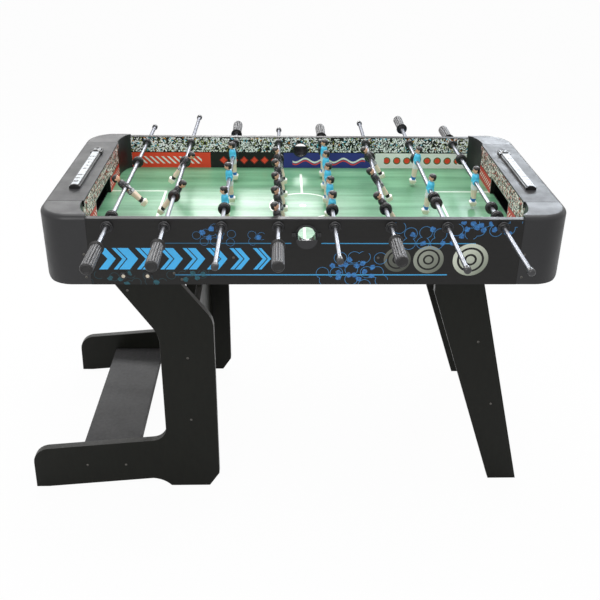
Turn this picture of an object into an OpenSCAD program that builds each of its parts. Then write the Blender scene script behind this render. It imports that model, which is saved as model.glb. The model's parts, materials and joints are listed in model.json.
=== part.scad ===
// Folding foosball table: a cabinet with eight rods on an L-shaped leg frame and a tapered leg frame.
// Frame: +X along the table to the right, +Y to the back, +Z up, millimetres.
// Origin: on the floor, under the middle of the whole table's bounding box.
// The lengths below are set about the cabinet's own middle, and place() moves them to the origin.

/* [Cabinet] */
// Length of the cabinet over its corner caps
cab_l = 1210; // [1100:5:1400]
// Width of the cabinet over its side panels
cab_w = 610; // [580:5:700]
// Height of the end rails above the floor
table_h = 790; // [720:1:860]
// Height of the side panels
apron_h = 164; // [150:1:190]
// Height of the end rails above the side panels' top edges
rail_rise = 8; // [6:0.5:14]
// Thickness of the side and end panels
panel_t = 14; // [12:0.5:18]
// How far the plastic trim stands out from a side panel, and over its top edge
trim_t = 1.5; // [1:0.25:3]
// Outer corner radius of the caps, seen from above
corner_r = 70; // [50:1:85]
// Length of a corner cap along the side panel
cap_l = 113.5; // [105:0.5:130]
// Length of a corner cap along the end rail
cap_w = 88; // [80:1:100]
// Wall of the moulded caps, rails and pockets
wall_t = 4; // [3:0.5:5]
// Rounding of the cabinet's upper outer edges
top_edge_r = 12; // [8:0.5:14]
// Rounding of the cabinet's lower outer end edges
low_edge_r = 24; // [15:1:40]

/* [Playfield] */
// Depth of each end bay, from the cabinet's end to the goal wall's face
end_bay = 89; // [82:1:96]
// Depth of the playfield below the side panels' top edges
field_drop = 92; // [88:1:100]
// Thickness of the playfield board
field_t = 6; // [4:0.5:9]
// How far the rounded play corner reaches along the side wall
corner_reach = 30; // [20:1:60]
// Width of a goal mouth
goal_w = 176; // [150:2:200]
// Height of a goal mouth
goal_h = 46; // [40:1:55]
// Depth of the goal pocket's floor below the playfield
pocket_drop = 24; // [12:1:34]
// Thickness of the end walls with the goal mouths
goal_wall_t = 9; // [6:0.5:12]
// How far an end rail's lip overhangs the goal wall
rail_lip = 4; // [2:0.5:8]

/* [Rods] */
// Diameter of the rod tubes
rod_d = 10; // [9:0.1:11]
// Wall of the rod tubes
tube_wall = 1.2; // [0.8:0.1:2]
// Distance from a goal wall's face to the goalkeeper's rod
keeper_gap = 71.5; // [70:0.5:80]
// Height of the rod axes below the side panels' top edges
rod_drop = 18; // [18:0.5:22]
// Radial running clearance of a rod in its bearings and bumpers
rod_play = 0.08; // [0.03:0.01:0.1]
// Flange diameter of a rod bearing, outside
bearing_d = 28.5; // [24:0.5:28.5]
// How far a bearing's flange stands off the panel
bearing_lip = 5; // [3:0.5:7]
// How far a bearing's neck reaches beyond its flange
bearing_neck = 9; // [5:0.5:12]
// Length of a hand grip
grip_l = 104; // [95:1:112]
// Largest diameter of a hand grip
grip_d = 28; // [26:0.5:32]
// Diameter of a grip's guard flange
guard_d = 33; // [32:0.5:38]
// Length of the cap on a rod's bare end
end_cap_l = 14; // [10:1:20]
// Diameter of a rubber bumper
bumper_d = 30; // [24:0.5:34]
// Length of a rubber bumper
bumper_l = 13; // [8:0.5:16]

/* [Reach of the rods past the side panels, team centred] */
// Goalkeeper rod: grip end
keeper_grip_out = 150; // [145:1:165]
// Goalkeeper rod: bare end
keeper_bare_out = 213; // [180:1:230]
// Two-player rod: grip end
two_grip_out = 204; // [195:1:220]
// Two-player rod: bare end
two_bare_out = 255; // [220:1:270]
// Three-player rod: grip end
three_grip_out = 168; // [160:1:185]
// Three-player rod: bare end
three_bare_out = 212; // [180:1:230]
// Five-player rod: grip end
five_grip_out = 141; // [135:1:155]
// Five-player rod: bare end
five_bare_out = 186; // [160:1:200]

/* [Players] */
// Height of a player's head centre above the rod axis
head_up = 31.5; // [29:0.5:33]
// Distance from the rod axis down to a player's sole
sole_down = 66; // [60:0.5:68]
// Width across a player's shoulders
man_w = 22; // [18:0.5:24]
// Spacing of the players on a two-player rod
two_pitch = 215; // [200:1:230]
// Spacing of the players on a three-player rod
three_pitch = 169.5; // [160:0.5:175]
// Spacing of the players on a five-player rod
five_pitch = 98.5; // [92:0.5:102]

/* [Scorers] */
// Length of a score bar
scorer_l = 280; // [260:2:300]
// Width of a score bar
scorer_w = 26; // [22:1:30]
// Distance from a score bar's end to its outermost score mark
score_margin = 25; // [20:1:32]

/* [Left leg frame, L-shaped] */
// Thickness of all leg panels and boards
leg_t = 18; // [15:0.5:20]
// How far the foot's tip reaches past the cabinet's end
foot_over = 97; // [60:1:130]
// Distance from the cabinet's left end to the post's left edge
post_in = 253.5; // [240:0.5:265]
// Width of the upright post
post_w = 132.5; // [120:0.5:140]
// Height of the foot where it meets the post
foot_h = 151; // [130:1:170]
// Distance from the cabinet's left end to the left hinge bolts
left_hinge_in = 188; // [180:1:200]

/* [Right leg frame, tapered] */
// Distance from the cabinet's right end to the leg's upper left edge
right_top_in = 293; // [280:1:300]
// Width of the leg just under the cabinet
right_top_w = 113; // [100:1:120]
// Width of the leg's foot
right_foot_w = 75; // [60:1:90]
// Distance from the cabinet's right end to the foot's outer corner
right_foot_in = 25; // [20:1:60]

/* [Leg hinges] */
// Diameter of a hinge bolt
hinge_d = 10; // [8:0.5:12]
// Radial running clearance of a leg on its hinge bolt
hinge_play = 0.06; // [0.03:0.01:0.1]
// Height of the left hinge bolts above the side panels' lower edges
left_hinge_up = 24; // [22:0.5:26]
// Height of the right hinge studs above the side panels' lower edges
right_hinge_up = 7; // [6:0.5:8]
// Gap between a side panel and the left leg frame
hinge_gap = 9; // [7:0.5:10]
// Side gap between the left frame's and the right frame's panels
leg_gap = 1; // [0.5:0.5:3]

/* [Hidden] */
$fn = 48;

// Gap where two pieces of the cabinet meet without being fastened face to face
seat = 0.3;

// Heights
z_top = table_h - rail_rise;
z_low = z_top - apron_h;
field_z = z_top - field_drop;
rod_z = z_top - rod_drop;
left_hinge_z = z_low + left_hinge_up;
right_hinge_z = z_low + right_hinge_up;
trim_lip = 3.5;

// Plan lines, measured from the cabinet's middle
end_x = cab_l / 2;
side_y = cab_w / 2;
in_y = side_y - panel_t;
seam_x = end_x - cap_l;
seam_y = side_y - cap_w;
goal_face_x = end_x - end_bay;
goal_back_x = goal_face_x + goal_wall_t;
rail_x = goal_face_x - rail_lip;
// The panels' tongues reach this far behind the corner caps
tongue_l = 28;
groove_d = 4;

bearing_barrel_r = rod_d / 2 + 3;

// Rods, from left to right
rod_men = [1, 2, 3, 5, 5, 3, 2, 1];
rod_pitch = 2 * (goal_face_x - keeper_gap) / (len(rod_men) - 1);
// Side of the grip: -1 front, 1 back
rod_side = [-1, -1, 1, -1, 1, -1, 1, 1];
// Stored place of each team along its rod, from the middle
rod_slide = [-62, 4, 7.5, -60, 8.5, -10.5, 36.5, -14.5];
// Stored turn of each rod about +Y
rod_tilt = [-46, 38.5, -5, -15, 2.5, -36, 7, 0];
rod_r = rod_d / 2;
bore_r = rod_r + rod_play;
function rod_x(i) = (i - 3.5) * rod_pitch;
function men_pitch(n) = n == 2 ? two_pitch : n == 3 ? three_pitch : n == 5 ? five_pitch : 0;
function grip_reach(n) = side_y + (n == 1 ? keeper_grip_out : n == 2 ? two_grip_out
                                 : n == 3 ? three_grip_out : five_grip_out);
function bare_reach(n) = side_y + (n == 1 ? keeper_bare_out : n == 2 ? two_bare_out
                                 : n == 3 ? three_bare_out : five_bare_out);
function back_end(i) = rod_slide[i] + (rod_side[i] > 0 ? grip_reach(rod_men[i]) : bare_reach(rod_men[i]));
function front_end(i) = rod_slide[i] - (rod_side[i] < 0 ? grip_reach(rod_men[i]) : bare_reach(rod_men[i]));
// Centre of a bumper that lies against the outermost player
bumper_gap = 1.5;
function outer_bumper(n) = (n - 1) / 2 * men_pitch(n) + man_w / 2 + bumper_gap + bumper_l / 2;
// Bumper centres along each rod, from its team's middle
bumper_at = [
  [-188, 188],
  [-outer_bumper(2), outer_bumper(2)],
  [-outer_bumper(3) - 20, outer_bumper(3)],
  [-outer_bumper(5), outer_bumper(5)],
  [-outer_bumper(5), outer_bumper(5)],
  [-outer_bumper(3), outer_bumper(3)],
  [-198, -165, outer_bumper(2)],
  [-232, -177, 175],
];

// The table stands on the floor with its bounding box centred on the origin
left_reach = end_x + foot_over;
shift_x = (left_reach - end_x) / 2;
shift_y = -(max([for (i = [0:7]) back_end(i)]) + min([for (i = [0:7]) front_end(i)])) / 2;
module place() translate([shift_x, shift_y, 0]) children();

// Ball entry, between the middle rods
entry_r = 19.5;
entry_wall = 2.5;
entry_z = z_top - 36.5;

// Leg panels: outer faces
left_leg_y = in_y - hinge_gap;
right_leg_y = left_leg_y - leg_t - leg_gap;
left_hinge_x = left_hinge_in - end_x;
post_x0 = post_in - end_x;
post_x1 = post_x0 + post_w;
// The left leg's slanted head starts this far below the side panels, with this slope on each side
head_drop = 134;
head_slant = 0.67;
head_slant_right = 0.74;
foot_board_w = 150;
foot_board_x = -left_reach + 115;
foot_board_z = 62;
cross_board_x = (post_x0 + post_x1) / 2;
cross_board_z = 190;
cross_board_h = 236;
right_x0 = end_x - right_top_in;
right_x1 = right_x0 + right_top_w;
right_foot_x1 = end_x - right_foot_in;
right_foot_x0 = right_foot_x1 - right_foot_w;
// The right leg's left edge is upright over this height under the cabinet
right_kink_h = 45;
right_hinge_x = right_x0 + 48;
// The right frame's board lies beside the leg's middle line, this far off it
right_foot_mid = (right_foot_x0 + right_foot_x1) / 2;
right_tilt = atan((right_foot_mid - (right_x0 + right_x1) / 2) / z_low);
right_board_off = 12;
right_board_z = 340;
right_board_l = 245;
screw_r = 3.2;
screw_h = 1.5;
board_screw_in = 25;
// Screws of the corner caps: in from the seam, up from the lower edge, down from the panels' top edges
cap_screw_in = 10.5;
cap_screw_up = 19;
cap_screw_down = 87;
// Screws through each side panel into the playfield's edges, this far left and right of the middle
field_screw_x = 165;
// Two small screws on each side panel, right of the left hinge bolts and above the lower edge
side_screws = [[115, 29], [132, 13]];
// Hinge plates: thickness, overhang past the left bolts, and the second left bolt
plate_t = 3;
plate_over = 14;
plate_half_h = 16;
plate_bolt_dx = 55;
// The right plates reach this far left and right of their studs and above them
right_plate_left = 24;
right_plate_right = 76;
right_plate_up = 36;
// Screws of the right plates, in from the plate's ends and its top
plate_screw_left = 42;
plate_screw_right = 14;
plate_screw_down = 12;

black = [0.13, 0.13, 0.13];
plastic = [0.2, 0.2, 0.21];
grey_board = [0.42, 0.42, 0.44];
chrome = [0.8, 0.8, 0.82];

// Points on an arc in a plane, from angle a0 to a1
function arc(c, r, a0, a1, n = 10) =
  [for (i = [0:n]) let (a = a0 + (a1 - a0) * i / n) [c[0] + r * cos(a), c[1] + r * sin(a)]];

// A block between two corners
module block(a, b) translate(a) cube(b - a);

// A cylinder along +Y, from y0 to y1, at x and z
module y_cylinder(x, y0, y1, z, r) translate([x, y0, z]) rotate([-90, 0, 0]) cylinder(h = y1 - y0, r = r);

// A plate of thickness t in the X-Z plane, with its outer face at -y
module xz_plate(y, t, points) translate([0, -y + t, 0]) rotate([90, 0, 0]) linear_extrude(t) polygon(points);

// The same piece at the front or mirrored to the back
module on_side(side) mirror([0, side > 0 ? 1 : 0, 0]) children();

// The same piece at the left or mirrored to the right
module on_end(end) mirror([end > 0 ? 1 : 0, 0, 0]) children();

// Screw heads on both outer faces at |Y| = y, at the given X and Z
module screw_heads(y, places)
  for (side = [-1, 1]) on_side(side) for (p = places) y_cylinder(p[0], -y - screw_h, -y, p[1], screw_r);

// ---------- Cabinet ----------

// The cabinet's vertical section, l deep, with its outer face at x = l and a rounded upper edge
module rim_section(l) {
  translate([0, z_low]) square([l, table_h - top_edge_r - z_low]);
  translate([0, z_low]) square([l - top_edge_r, apron_h + rail_rise]);
  translate([l - top_edge_r, table_h - top_edge_r]) circle(r = top_edge_r);
}

// The same section, d deep, along the left end from y0 to y1
module end_rim(d, y0, y1)
  translate([-end_x + d, y0, 0]) rotate([90, 0, 180]) linear_extrude(y1 - y0) rim_section(d);

// The same section, d deep, along the front side from x0 to x1
module side_rim(d, x0, x1)
  translate([x1, -side_y + d, 0]) rotate([90, 0, -90]) linear_extrude(x1 - x0) rim_section(d);

// The front left quarter of the cabinet's plan, set in by g from the outer faces
module plan_corner(g, z0, z1) {
  block([-end_x + corner_r, -side_y + g, z0], [0, 0, z1]);
  block([-end_x + g, -side_y + corner_r, z0], [0, 0, z1]);
  translate([-end_x + corner_r, -side_y + corner_r, z0]) cylinder(h = z1 - z0, r = corner_r - g);
}

// The space inside the left end's lower rounding, set in by g, open below
module end_bowl(g) {
  x_low = -end_x + low_edge_r;
  block([-end_x + g, -side_y - 1, z_low + low_edge_r], [0, 1, table_h + 1]);
  block([x_low, -side_y - 1, z_low - g], [0, 1, table_h + 1]);
  y_cylinder(x_low, -side_y - 1, 1, z_low + low_edge_r, low_edge_r - g);
}

// The play area's front left quarter, grown outward by g
module play_corner(g, z0, z1) {
  cx = -goal_face_x + corner_reach;
  points = concat(
    [[0, 0], [-goal_face_x - g, 0]],
    [for (i = [0:12]) let (a = 90 * i / 12)
      [cx - (corner_reach + g) * cos(a), -seam_y - (in_y - seam_y + g) * sin(a)]],
    [[0, -in_y - g]]);
  translate([0, 0, z0]) linear_extrude(z1 - z0) polygon(points);
}

module bearing_holes() {
  for (i = [0:7]) y_cylinder(rod_x(i), -side_y - 1, -in_y + 1, rod_z, bearing_barrel_r + 0.1);
}

// A thinner end of the side panel, behind the cap
module side_tongue() intersection() {
  block([-seam_x - tongue_l, -side_y, z_low], [0, -in_y, z_top]);
  plan_corner(wall_t + seat, z_low, z_top);
}

module side_panel(side) {
  on_side(side) difference() {
    union() {
      block([-seam_x + seat, -side_y, z_low], [seam_x - seat, -in_y, z_top]);
      for (end = [-1, 1]) on_end(end) side_tongue();
    }
    bearing_holes();
    y_cylinder(0, -side_y - 1, -in_y + 1, entry_z, entry_r + entry_wall + 0.1);
    block([-goal_back_x - 1, -in_y - groove_d, field_z - field_t], [goal_back_x + 1, -in_y + 1, field_z]);
    for (dx = [0, plate_bolt_dx])
      y_cylinder(left_hinge_x + dx, -side_y - 1, -in_y + 1, left_hinge_z, hinge_d / 2);
  }
}

module side_panel_front() place() color(black) side_panel(-1);
module side_panel_back() place() color(black) side_panel(1);

module top_trims() {
  place() color(plastic) for (side = [-1, 1]) on_side(side) difference() {
    block([-seam_x + seat, -side_y - trim_t, z_top - trim_lip],
          [seam_x - seat, -in_y, z_top + trim_t]);
    block([-seam_x - 1, -side_y, z_top - trim_lip - 1], [seam_x + 1, -in_y + 1, z_top]);
  }
}

// The end panels: flush with the caps between the seams, and thinner behind the caps' walls
module end_panels() {
  place() color(black) for (end = [-1, 1]) on_end(end) for (side = [-1, 1]) on_side(side) {
    intersection() {
      block([-end_x, -seam_y + seat, z_low], [-end_x + panel_t, 0, z_top]);
      end_bowl(0);
    }
    intersection() {
      block([-end_x, -seam_y - tongue_l, z_low], [-end_x + panel_t, 0, z_top]);
      plan_corner(wall_t + seat, z_low, z_top);
      end_bowl(wall_t + seat);
    }
  }
}

module end_rails() {
  place() color(plastic) for (end = [-1, 1]) on_end(end) {
    intersection() {
      end_rim(end_x - rail_x, -seam_y + seat, seam_y - seat);
      block([-end_x, -seam_y, z_top], [-rail_x, seam_y, table_h]);
    }
    block([-goal_face_x, -seam_y + seat, z_top - 2 * wall_t], [-rail_x, seam_y - seat, z_top + wall_t]);
  }
}

// A hollow moulded cap: outer walls, top plate and the curved wall that rounds the play corner
module corner_cap(end, side) {
  place() color(plastic) on_end(end) on_side(side) {
    difference() {
      intersection() {
        union() {
          side_rim(cap_w, -end_x + corner_r, -seam_x);
          end_rim(cap_l, -side_y + corner_r, -seam_y);
          translate([-end_x + corner_r, -side_y + corner_r, 0]) rotate_extrude() rim_section(corner_r);
        }
        end_bowl(0);
        block([-end_x, -side_y, z_low], [-seam_x, -seam_y, table_h]);
      }
      intersection() {
        plan_corner(wall_t, z_low - 1, z_top + seat);
        end_bowl(wall_t);
      }
      play_corner(0, z_low - 1, table_h + 1);
    }
    intersection() {
      block([-goal_back_x, -in_y + seat, field_z], [-seam_x, -seam_y, table_h - wall_t]);
      difference() {
        play_corner(wall_t, field_z, table_h);
        play_corner(0, field_z - 1, table_h + 1);
      }
    }
  }
}

module corner_cap_front_left() corner_cap(-1, -1);
module corner_cap_front_right() corner_cap(1, -1);
module corner_cap_back_left() corner_cap(-1, 1);
module corner_cap_back_right() corner_cap(1, 1);

// Small screws in the caps, along the playfield's edges and beside the left hinge plates
module cabinet_screws() {
  field_screws = [for (s = [-1, 1]) [s * field_screw_x, field_z - field_t / 2]];
  cap_screws = [for (s = [-1, 1], z = [z_low + cap_screw_up, z_top - cap_screw_down])
    [s * (seam_x + cap_screw_in), z]];
  place() color(chrome)
    screw_heads(side_y, concat(cap_screws, field_screws, [for (p = side_screws) [left_hinge_x, z_low] + p]));
}

module playfield() {
  y = in_y + groove_d - seat;
  place() color([0.2, 0.5, 0.3]) block([-goal_back_x, -y, field_z - field_t], [goal_back_x, y, field_z]);
}

module goal_walls() {
  place() color(plastic) for (end = [-1, 1]) on_end(end) difference() {
    block([-goal_back_x, -seam_y + seat, field_z], [-goal_face_x, seam_y - seat, z_top]);
    block([-goal_back_x - 1, -goal_w / 2, field_z - 1], [-goal_face_x + 1, goal_w / 2, field_z + goal_h]);
  }
}

// Open boxes behind the goal mouths, where the ball waits to be picked out
module goal_pockets() {
  half_w = goal_w / 2 + 2 * wall_t;
  x0 = -end_x + panel_t + seat;
  x1 = -goal_back_x - seat;
  z0 = field_z - pocket_drop - wall_t;
  z1 = field_z + goal_h + 2 * wall_t;
  place() color(black) for (end = [-1, 1]) on_end(end) difference() {
    block([x0, -half_w, z0], [x1, half_w, z1]);
    block([x0 + wall_t, -half_w + wall_t, z0 + wall_t], [x1 - wall_t, half_w - wall_t, z1 - wall_t]);
    block([x1 - wall_t - 1, -goal_w / 2, field_z], [x1 + 1, goal_w / 2, field_z + goal_h]);
  }
}

// A plastic bush with a domed outer flange, a neck, a barrel through the panel and an inner flange
module rod_bearing() {
  neck_r = bore_r + 2.2;
  neck_end = -bearing_lip - bearing_neck;
  r_out = bearing_d / 2;
  r_in = r_out - 2;
  profile = concat(
    [[bore_r, neck_end], [neck_r - 0.8, neck_end], [neck_r, neck_end + 0.8], [neck_r, -bearing_lip]],
    arc([r_out - 2.5, -bearing_lip + 2.5], 2.5, -90, 0, 4),
    [[r_out, 0], [bearing_barrel_r, 0], [bearing_barrel_r, panel_t], [r_in, panel_t],
     [r_in, panel_t + 3], [r_in - 2, panel_t + bearing_lip], [bore_r, panel_t + bearing_lip]]);
  rotate([-90, 0, 0]) rotate_extrude() polygon(profile);
}

module rod_bearings() {
  place() color(black) for (side = [-1, 1]) on_side(side)
    for (i = [0:7]) translate([rod_x(i), -side_y, rod_z]) rod_bearing();
}

// A ball cup through each side panel: ring, two ears and a closed scoop that leads the ball in
module ball_entry_cups() {
  r = entry_r + entry_wall;
  ear_w = 33;
  flange = 3;
  scoop_out = 28;
  // The scoop is cut level this far below the bore's axis
  scoop_top = 2;
  place() color(black) for (side = [-1, 1]) on_side(side) difference() {
    union() {
      y_cylinder(0, -side_y - flange, -in_y + 2, entry_z, r);
      y_cylinder(0, -side_y - flange, -side_y, entry_z, r + 3);
      block([-ear_w, -side_y - flange, entry_z - 4], [ear_w, -side_y, entry_z + 4]);
      intersection() {
        y_cylinder(0, -side_y - scoop_out, -side_y, entry_z, r + 2);
        block([-r - 3, -side_y - scoop_out, entry_z - r - 3], [r + 3, -side_y, entry_z - scoop_top]);
      }
    }
    y_cylinder(0, -side_y - scoop_out + entry_wall, -in_y + 3, entry_z, entry_r);
    for (s = [-1, 1]) y_cylinder(s * (ear_w - 4), -side_y - flange - 1, -side_y - 1, entry_z, 1.5);
  }
}

// ---------- Scorers ----------
scorer_x = (end_x + rail_x) / 2 - 7.5;
scorer_base_h = 6;
scorer_h = 9;
scorer_strip_w = scorer_w - 7;
scorer_end_l = 4;
scorer_arch_r = scorer_w / 2 + 1.5;
slider_l = 11;
slider_wall = 1.8;
slider_clear = 0.3;
// The sliders stand at the outermost mark
score_zero_y = scorer_l / 2 - score_margin;

module scorer_bars() {
  place() color(black) for (end = [-1, 1]) on_end(end) translate([-scorer_x, 0, table_h]) {
    block([-scorer_w / 2, -scorer_l / 2, 0], [scorer_w / 2, scorer_l / 2, scorer_base_h]);
    block([-scorer_strip_w / 2, -scorer_l / 2, 0], [scorer_strip_w / 2, scorer_l / 2, scorer_h]);
    for (s = [-1, 1]) translate([0, s * (scorer_l - scorer_end_l) / 2, 0]) intersection() {
      y_cylinder(0, -scorer_end_l / 2, scorer_end_l / 2, scorer_h + 2 - scorer_arch_r, scorer_arch_r);
      block([-scorer_w / 2, -scorer_end_l, 0], [scorer_w / 2, scorer_end_l, scorer_h + 3]);
    }
  }
}

// A clip that straddles its bar at the score zero
module scorer_slider(end) {
  base = scorer_w / 2 + slider_clear;
  strip = scorer_strip_w / 2 + slider_clear;
  half = base + slider_wall;
  on_end(end) translate([-scorer_x, score_zero_y, table_h]) difference() {
    union() {
      block([-half, -slider_l / 2, slider_clear], [half, slider_l / 2, scorer_h - 1]);
      intersection() {
        y_cylinder(0, -slider_l / 2, slider_l / 2, scorer_h + 4 - half, half);
        block([-half, -slider_l / 2, slider_clear], [half, slider_l / 2, scorer_h + 5]);
      }
    }
    block([-base, -slider_l, 0], [base, slider_l, scorer_base_h + slider_clear]);
    block([-strip, -slider_l, 0], [strip, slider_l, scorer_h + slider_clear]);
  }
}

module scorer_slider_left() place() color(black) scorer_slider(-1);
module scorer_slider_right() place() color(black) scorer_slider(1);

// ---------- Legs ----------

// A hinge on the front side panel: plate, spacer, stud and nut, for a leg with its outer face at leg_y.
// The plate's ranges along X and Z are measured from the stud.
module leg_hinge(x, z, leg_y, plate_x, plate_z) {
  nut_h = 6;
  nut_y = -leg_y + leg_t + seat;
  block([x + plate_x[0], -in_y, z + plate_z[0]], [x + plate_x[1], -in_y + plate_t, z + plate_z[1]]);
  y_cylinder(x, -in_y, -leg_y - seat, z, hinge_d / 2 + 3);
  y_cylinder(x, -in_y, nut_y + nut_h + 1, z, hinge_d / 2);
  y_cylinder(x, nut_y, nut_y + nut_h, z, hinge_d / 2 + 2.5);
}

// Left: bolts through the side panels. Right: studs on plates inside
module leg_hinges() {
  head_r = hinge_d / 2 + 2.5;
  head_h = 4;
  place() color(chrome) for (side = [-1, 1]) on_side(side) {
    leg_hinge(left_hinge_x, left_hinge_z, left_leg_y,
              [-plate_over, plate_bolt_dx + plate_over], [-plate_half_h, plate_half_h]);
    leg_hinge(right_hinge_x, right_hinge_z, right_leg_y,
              [-right_plate_left, right_plate_right], [seat - right_hinge_up, right_plate_up]);
    for (dx = [0, plate_bolt_dx]) {
      y_cylinder(left_hinge_x + dx, -side_y, -in_y, left_hinge_z, hinge_d / 2);
      y_cylinder(left_hinge_x + dx, -side_y - head_h, -side_y, left_hinge_z, head_r);
    }
    for (dx = [plate_screw_left - right_plate_left, right_plate_right - plate_screw_right])
      y_cylinder(right_hinge_x + dx, -in_y + plate_t, -in_y + plate_t + screw_h,
                 right_hinge_z + right_plate_up - plate_screw_down, screw_r);
  }
}

// Outline of the L-shaped leg panel, clockwise from the foot's tip
function left_leg_outline() = let (
    tip_x = -left_reach,
    fillet = 38,
    head_r = 38,
    slant_z = z_low - head_drop,
    head_left_low = post_x0 - 12,
    head_left_top = head_left_low - (z_low - slant_z) * head_slant,
    bend_z = slant_z + 16,
    head_right_low = post_x1 - 10,
    head_right_top = head_right_low - (z_low - bend_z - 22) * head_slant_right
  ) concat(
    [[tip_x, 0]],
    arc([tip_x + 48, foot_h - 72], 46, 180, 100, 6),
    arc([post_x0 - fillet, foot_h + fillet - 2], fillet, -85, 0, 8),
    [[post_x0, slant_z - 38], [post_x0 - 4, slant_z - 16], [head_left_low, slant_z], [head_left_top, z_low]],
    arc([left_hinge_x, left_hinge_z], head_r, 180, 80, 8),
    [[head_right_top - 18, left_hinge_z], [head_right_top, z_low], [head_right_low, bend_z + 22]],
    [[post_x1 - 3, bend_z + 8], [post_x1, bend_z - 8], [post_x1, 40], [post_x1 - 26, 0], [post_x0 + 12, 0]],
    arc([post_x0 - 48, -44], 69, 40, 85, 6),
    [[tip_x + 32, 0]]);

// A leg panel with its outer face at leg_y and its hinge bore at x and z
module leg_panel(side, leg_y, outline, x, z) {
  on_side(side) difference() {
    xz_plate(leg_y, leg_t, outline);
    y_cylinder(x, -leg_y - 1, -leg_y + leg_t + 1, z, hinge_d / 2 + hinge_play);
  }
}

module left_leg_panel(side)
  leg_panel(side, left_leg_y, left_leg_outline(), left_hinge_x, left_hinge_z);

module left_leg_front() place() color(black) left_leg_panel(-1);
module left_leg_rear() place() color(black) left_leg_panel(1);

module left_leg_foot_board() {
  y = left_leg_y - leg_t;
  place() color(grey_board)
    block([foot_board_x, -y, foot_board_z], [foot_board_x + foot_board_w, y, foot_board_z + leg_t]);
}

module left_leg_cross_board() {
  y = left_leg_y - leg_t;
  x = cross_board_x - leg_t / 2;
  place() color(grey_board) block([x, -y, cross_board_z], [x + leg_t, y, cross_board_z + cross_board_h]);
}

module left_leg_screws() {
  x = cross_board_x;
  z = foot_board_z + leg_t / 2;
  place() color(chrome) screw_heads(left_leg_y, [
    [foot_board_x + board_screw_in, z], [foot_board_x + foot_board_w - board_screw_in, z],
    [x, cross_board_z + board_screw_in], [x, cross_board_z + cross_board_h - board_screw_in],
    [left_hinge_x, z_low - 28]]);
}

// Outline of the tapered leg panel, clockwise from the foot's inner corner
function right_leg_outline() = concat(
    [[right_foot_x0, 0], [right_x0, z_low - right_kink_h]],
    arc([right_hinge_x, right_hinge_z], right_hinge_x - right_x0, 180, 90, 8),
    [[right_x1 - 15, right_hinge_z + 45], [right_x1, z_low], [right_foot_x1, 0]]);

module right_leg_panel(side)
  leg_panel(side, right_leg_y, right_leg_outline(), right_hinge_x, right_hinge_z);

module right_leg_front() place() color(black) right_leg_panel(-1);
module right_leg_rear() place() color(black) right_leg_panel(1);

module along_right_leg() {
  x = right_foot_mid + right_board_off - right_board_z * tan(right_tilt);
  translate([x, 0, right_board_z]) rotate([0, -right_tilt, 0]) children();
}

module right_leg_cross_board() {
  y = right_leg_y - leg_t;
  place() color(black) along_right_leg()
    block([-leg_t / 2, -y, -right_board_l / 2], [leg_t / 2, y, right_board_l / 2]);
}

module right_leg_screws() {
  reach = right_board_l / 2 - board_screw_in;
  place() color(chrome) along_right_leg() screw_heads(right_leg_y, [[0, -reach], [0, reach]]);
}

// ---------- Rods ----------

// Puts a rod's own frame in place: its team's middle at the origin, its tilt about the rod axis
module rod_frame(i, tilted = true)
  translate([rod_x(i), rod_slide[i], rod_z]) rotate([0, tilted ? rod_tilt[i] : 0, 0]) children();

// Turns +Z to the rod's grip side
module to_grip(i) rotate([rod_side[i] < 0 ? 90 : -90, 0, 0]) children();

grip_cover = 8;
cap_cover = 3;

module rod_tube(i) {
  n = rod_men[i];
  z0 = -bare_reach(n) + cap_cover;
  z1 = grip_reach(n) - grip_cover;
  place() color(chrome) rod_frame(i) to_grip(i) translate([0, 0, z0]) difference() {
    cylinder(h = z1 - z0, r = rod_r);
    translate([0, 0, -1]) cylinder(h = z1 - z0 + 2, r = rod_r - tube_wall);
  }
}

// A ribbed plastic grip on one end of the tube and a small cap on the other
module rod_handle(i) {
  n = rod_men[i];
  place() color(black) rod_frame(i) to_grip(i) {
    translate([0, 0, grip_reach(n) - grip_l]) hand_grip();
    translate([0, 0, -bare_reach(n)]) rod_end_cap();
  }
}

module hand_grip() {
  r = grip_d / 2;
  guard_t = 4;
  end_l = 34;
  end_r = 9;
  collar_z = grip_l - end_l;
  profile = concat(
    [[0, 0], [rod_r + 3, 0], [rod_r + 4, 1], [guard_d / 2 - 1.5, 1], [guard_d / 2, 2.5],
     [guard_d / 2 - 1.5, guard_t], [r - 3, guard_t + 1], [r - 1.2, guard_t + 5], [r - 0.6, grip_l / 2],
     [r, collar_z - 3], [r - 1.5, collar_z - 1.5], [r - 1.5, collar_z], [r - 0.8, collar_z + 1.5]],
    arc([r - 1.6 - end_r, grip_l - end_r], end_r, 0, 90, 8), [[0, grip_l]]);
  flutes = 12;
  difference() {
    rotate_extrude() polygon(profile);
    translate([0, 0, -1]) cylinder(h = grip_l - grip_cover + 1, r = rod_r);
    for (a = [0:flutes - 1]) rotate([0, 0, a * 360 / flutes]) translate([r, 0, guard_t + 6])
      cylinder(h = collar_z - guard_t - 10, r = 1.5, $fn = 16);
  }
}

module rod_end_cap() {
  r = rod_r + 3;
  profile = concat(
    [[0, 0]], arc([r - 3, 3], 3, -90, 0, 5),
    [[r, end_cap_l - 1], [r - 0.8, end_cap_l], [0, end_cap_l]]);
  difference() {
    rotate_extrude() polygon(profile);
    translate([0, 0, cap_cover]) cylinder(h = end_cap_l, r = rod_r);
  }
}

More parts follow.
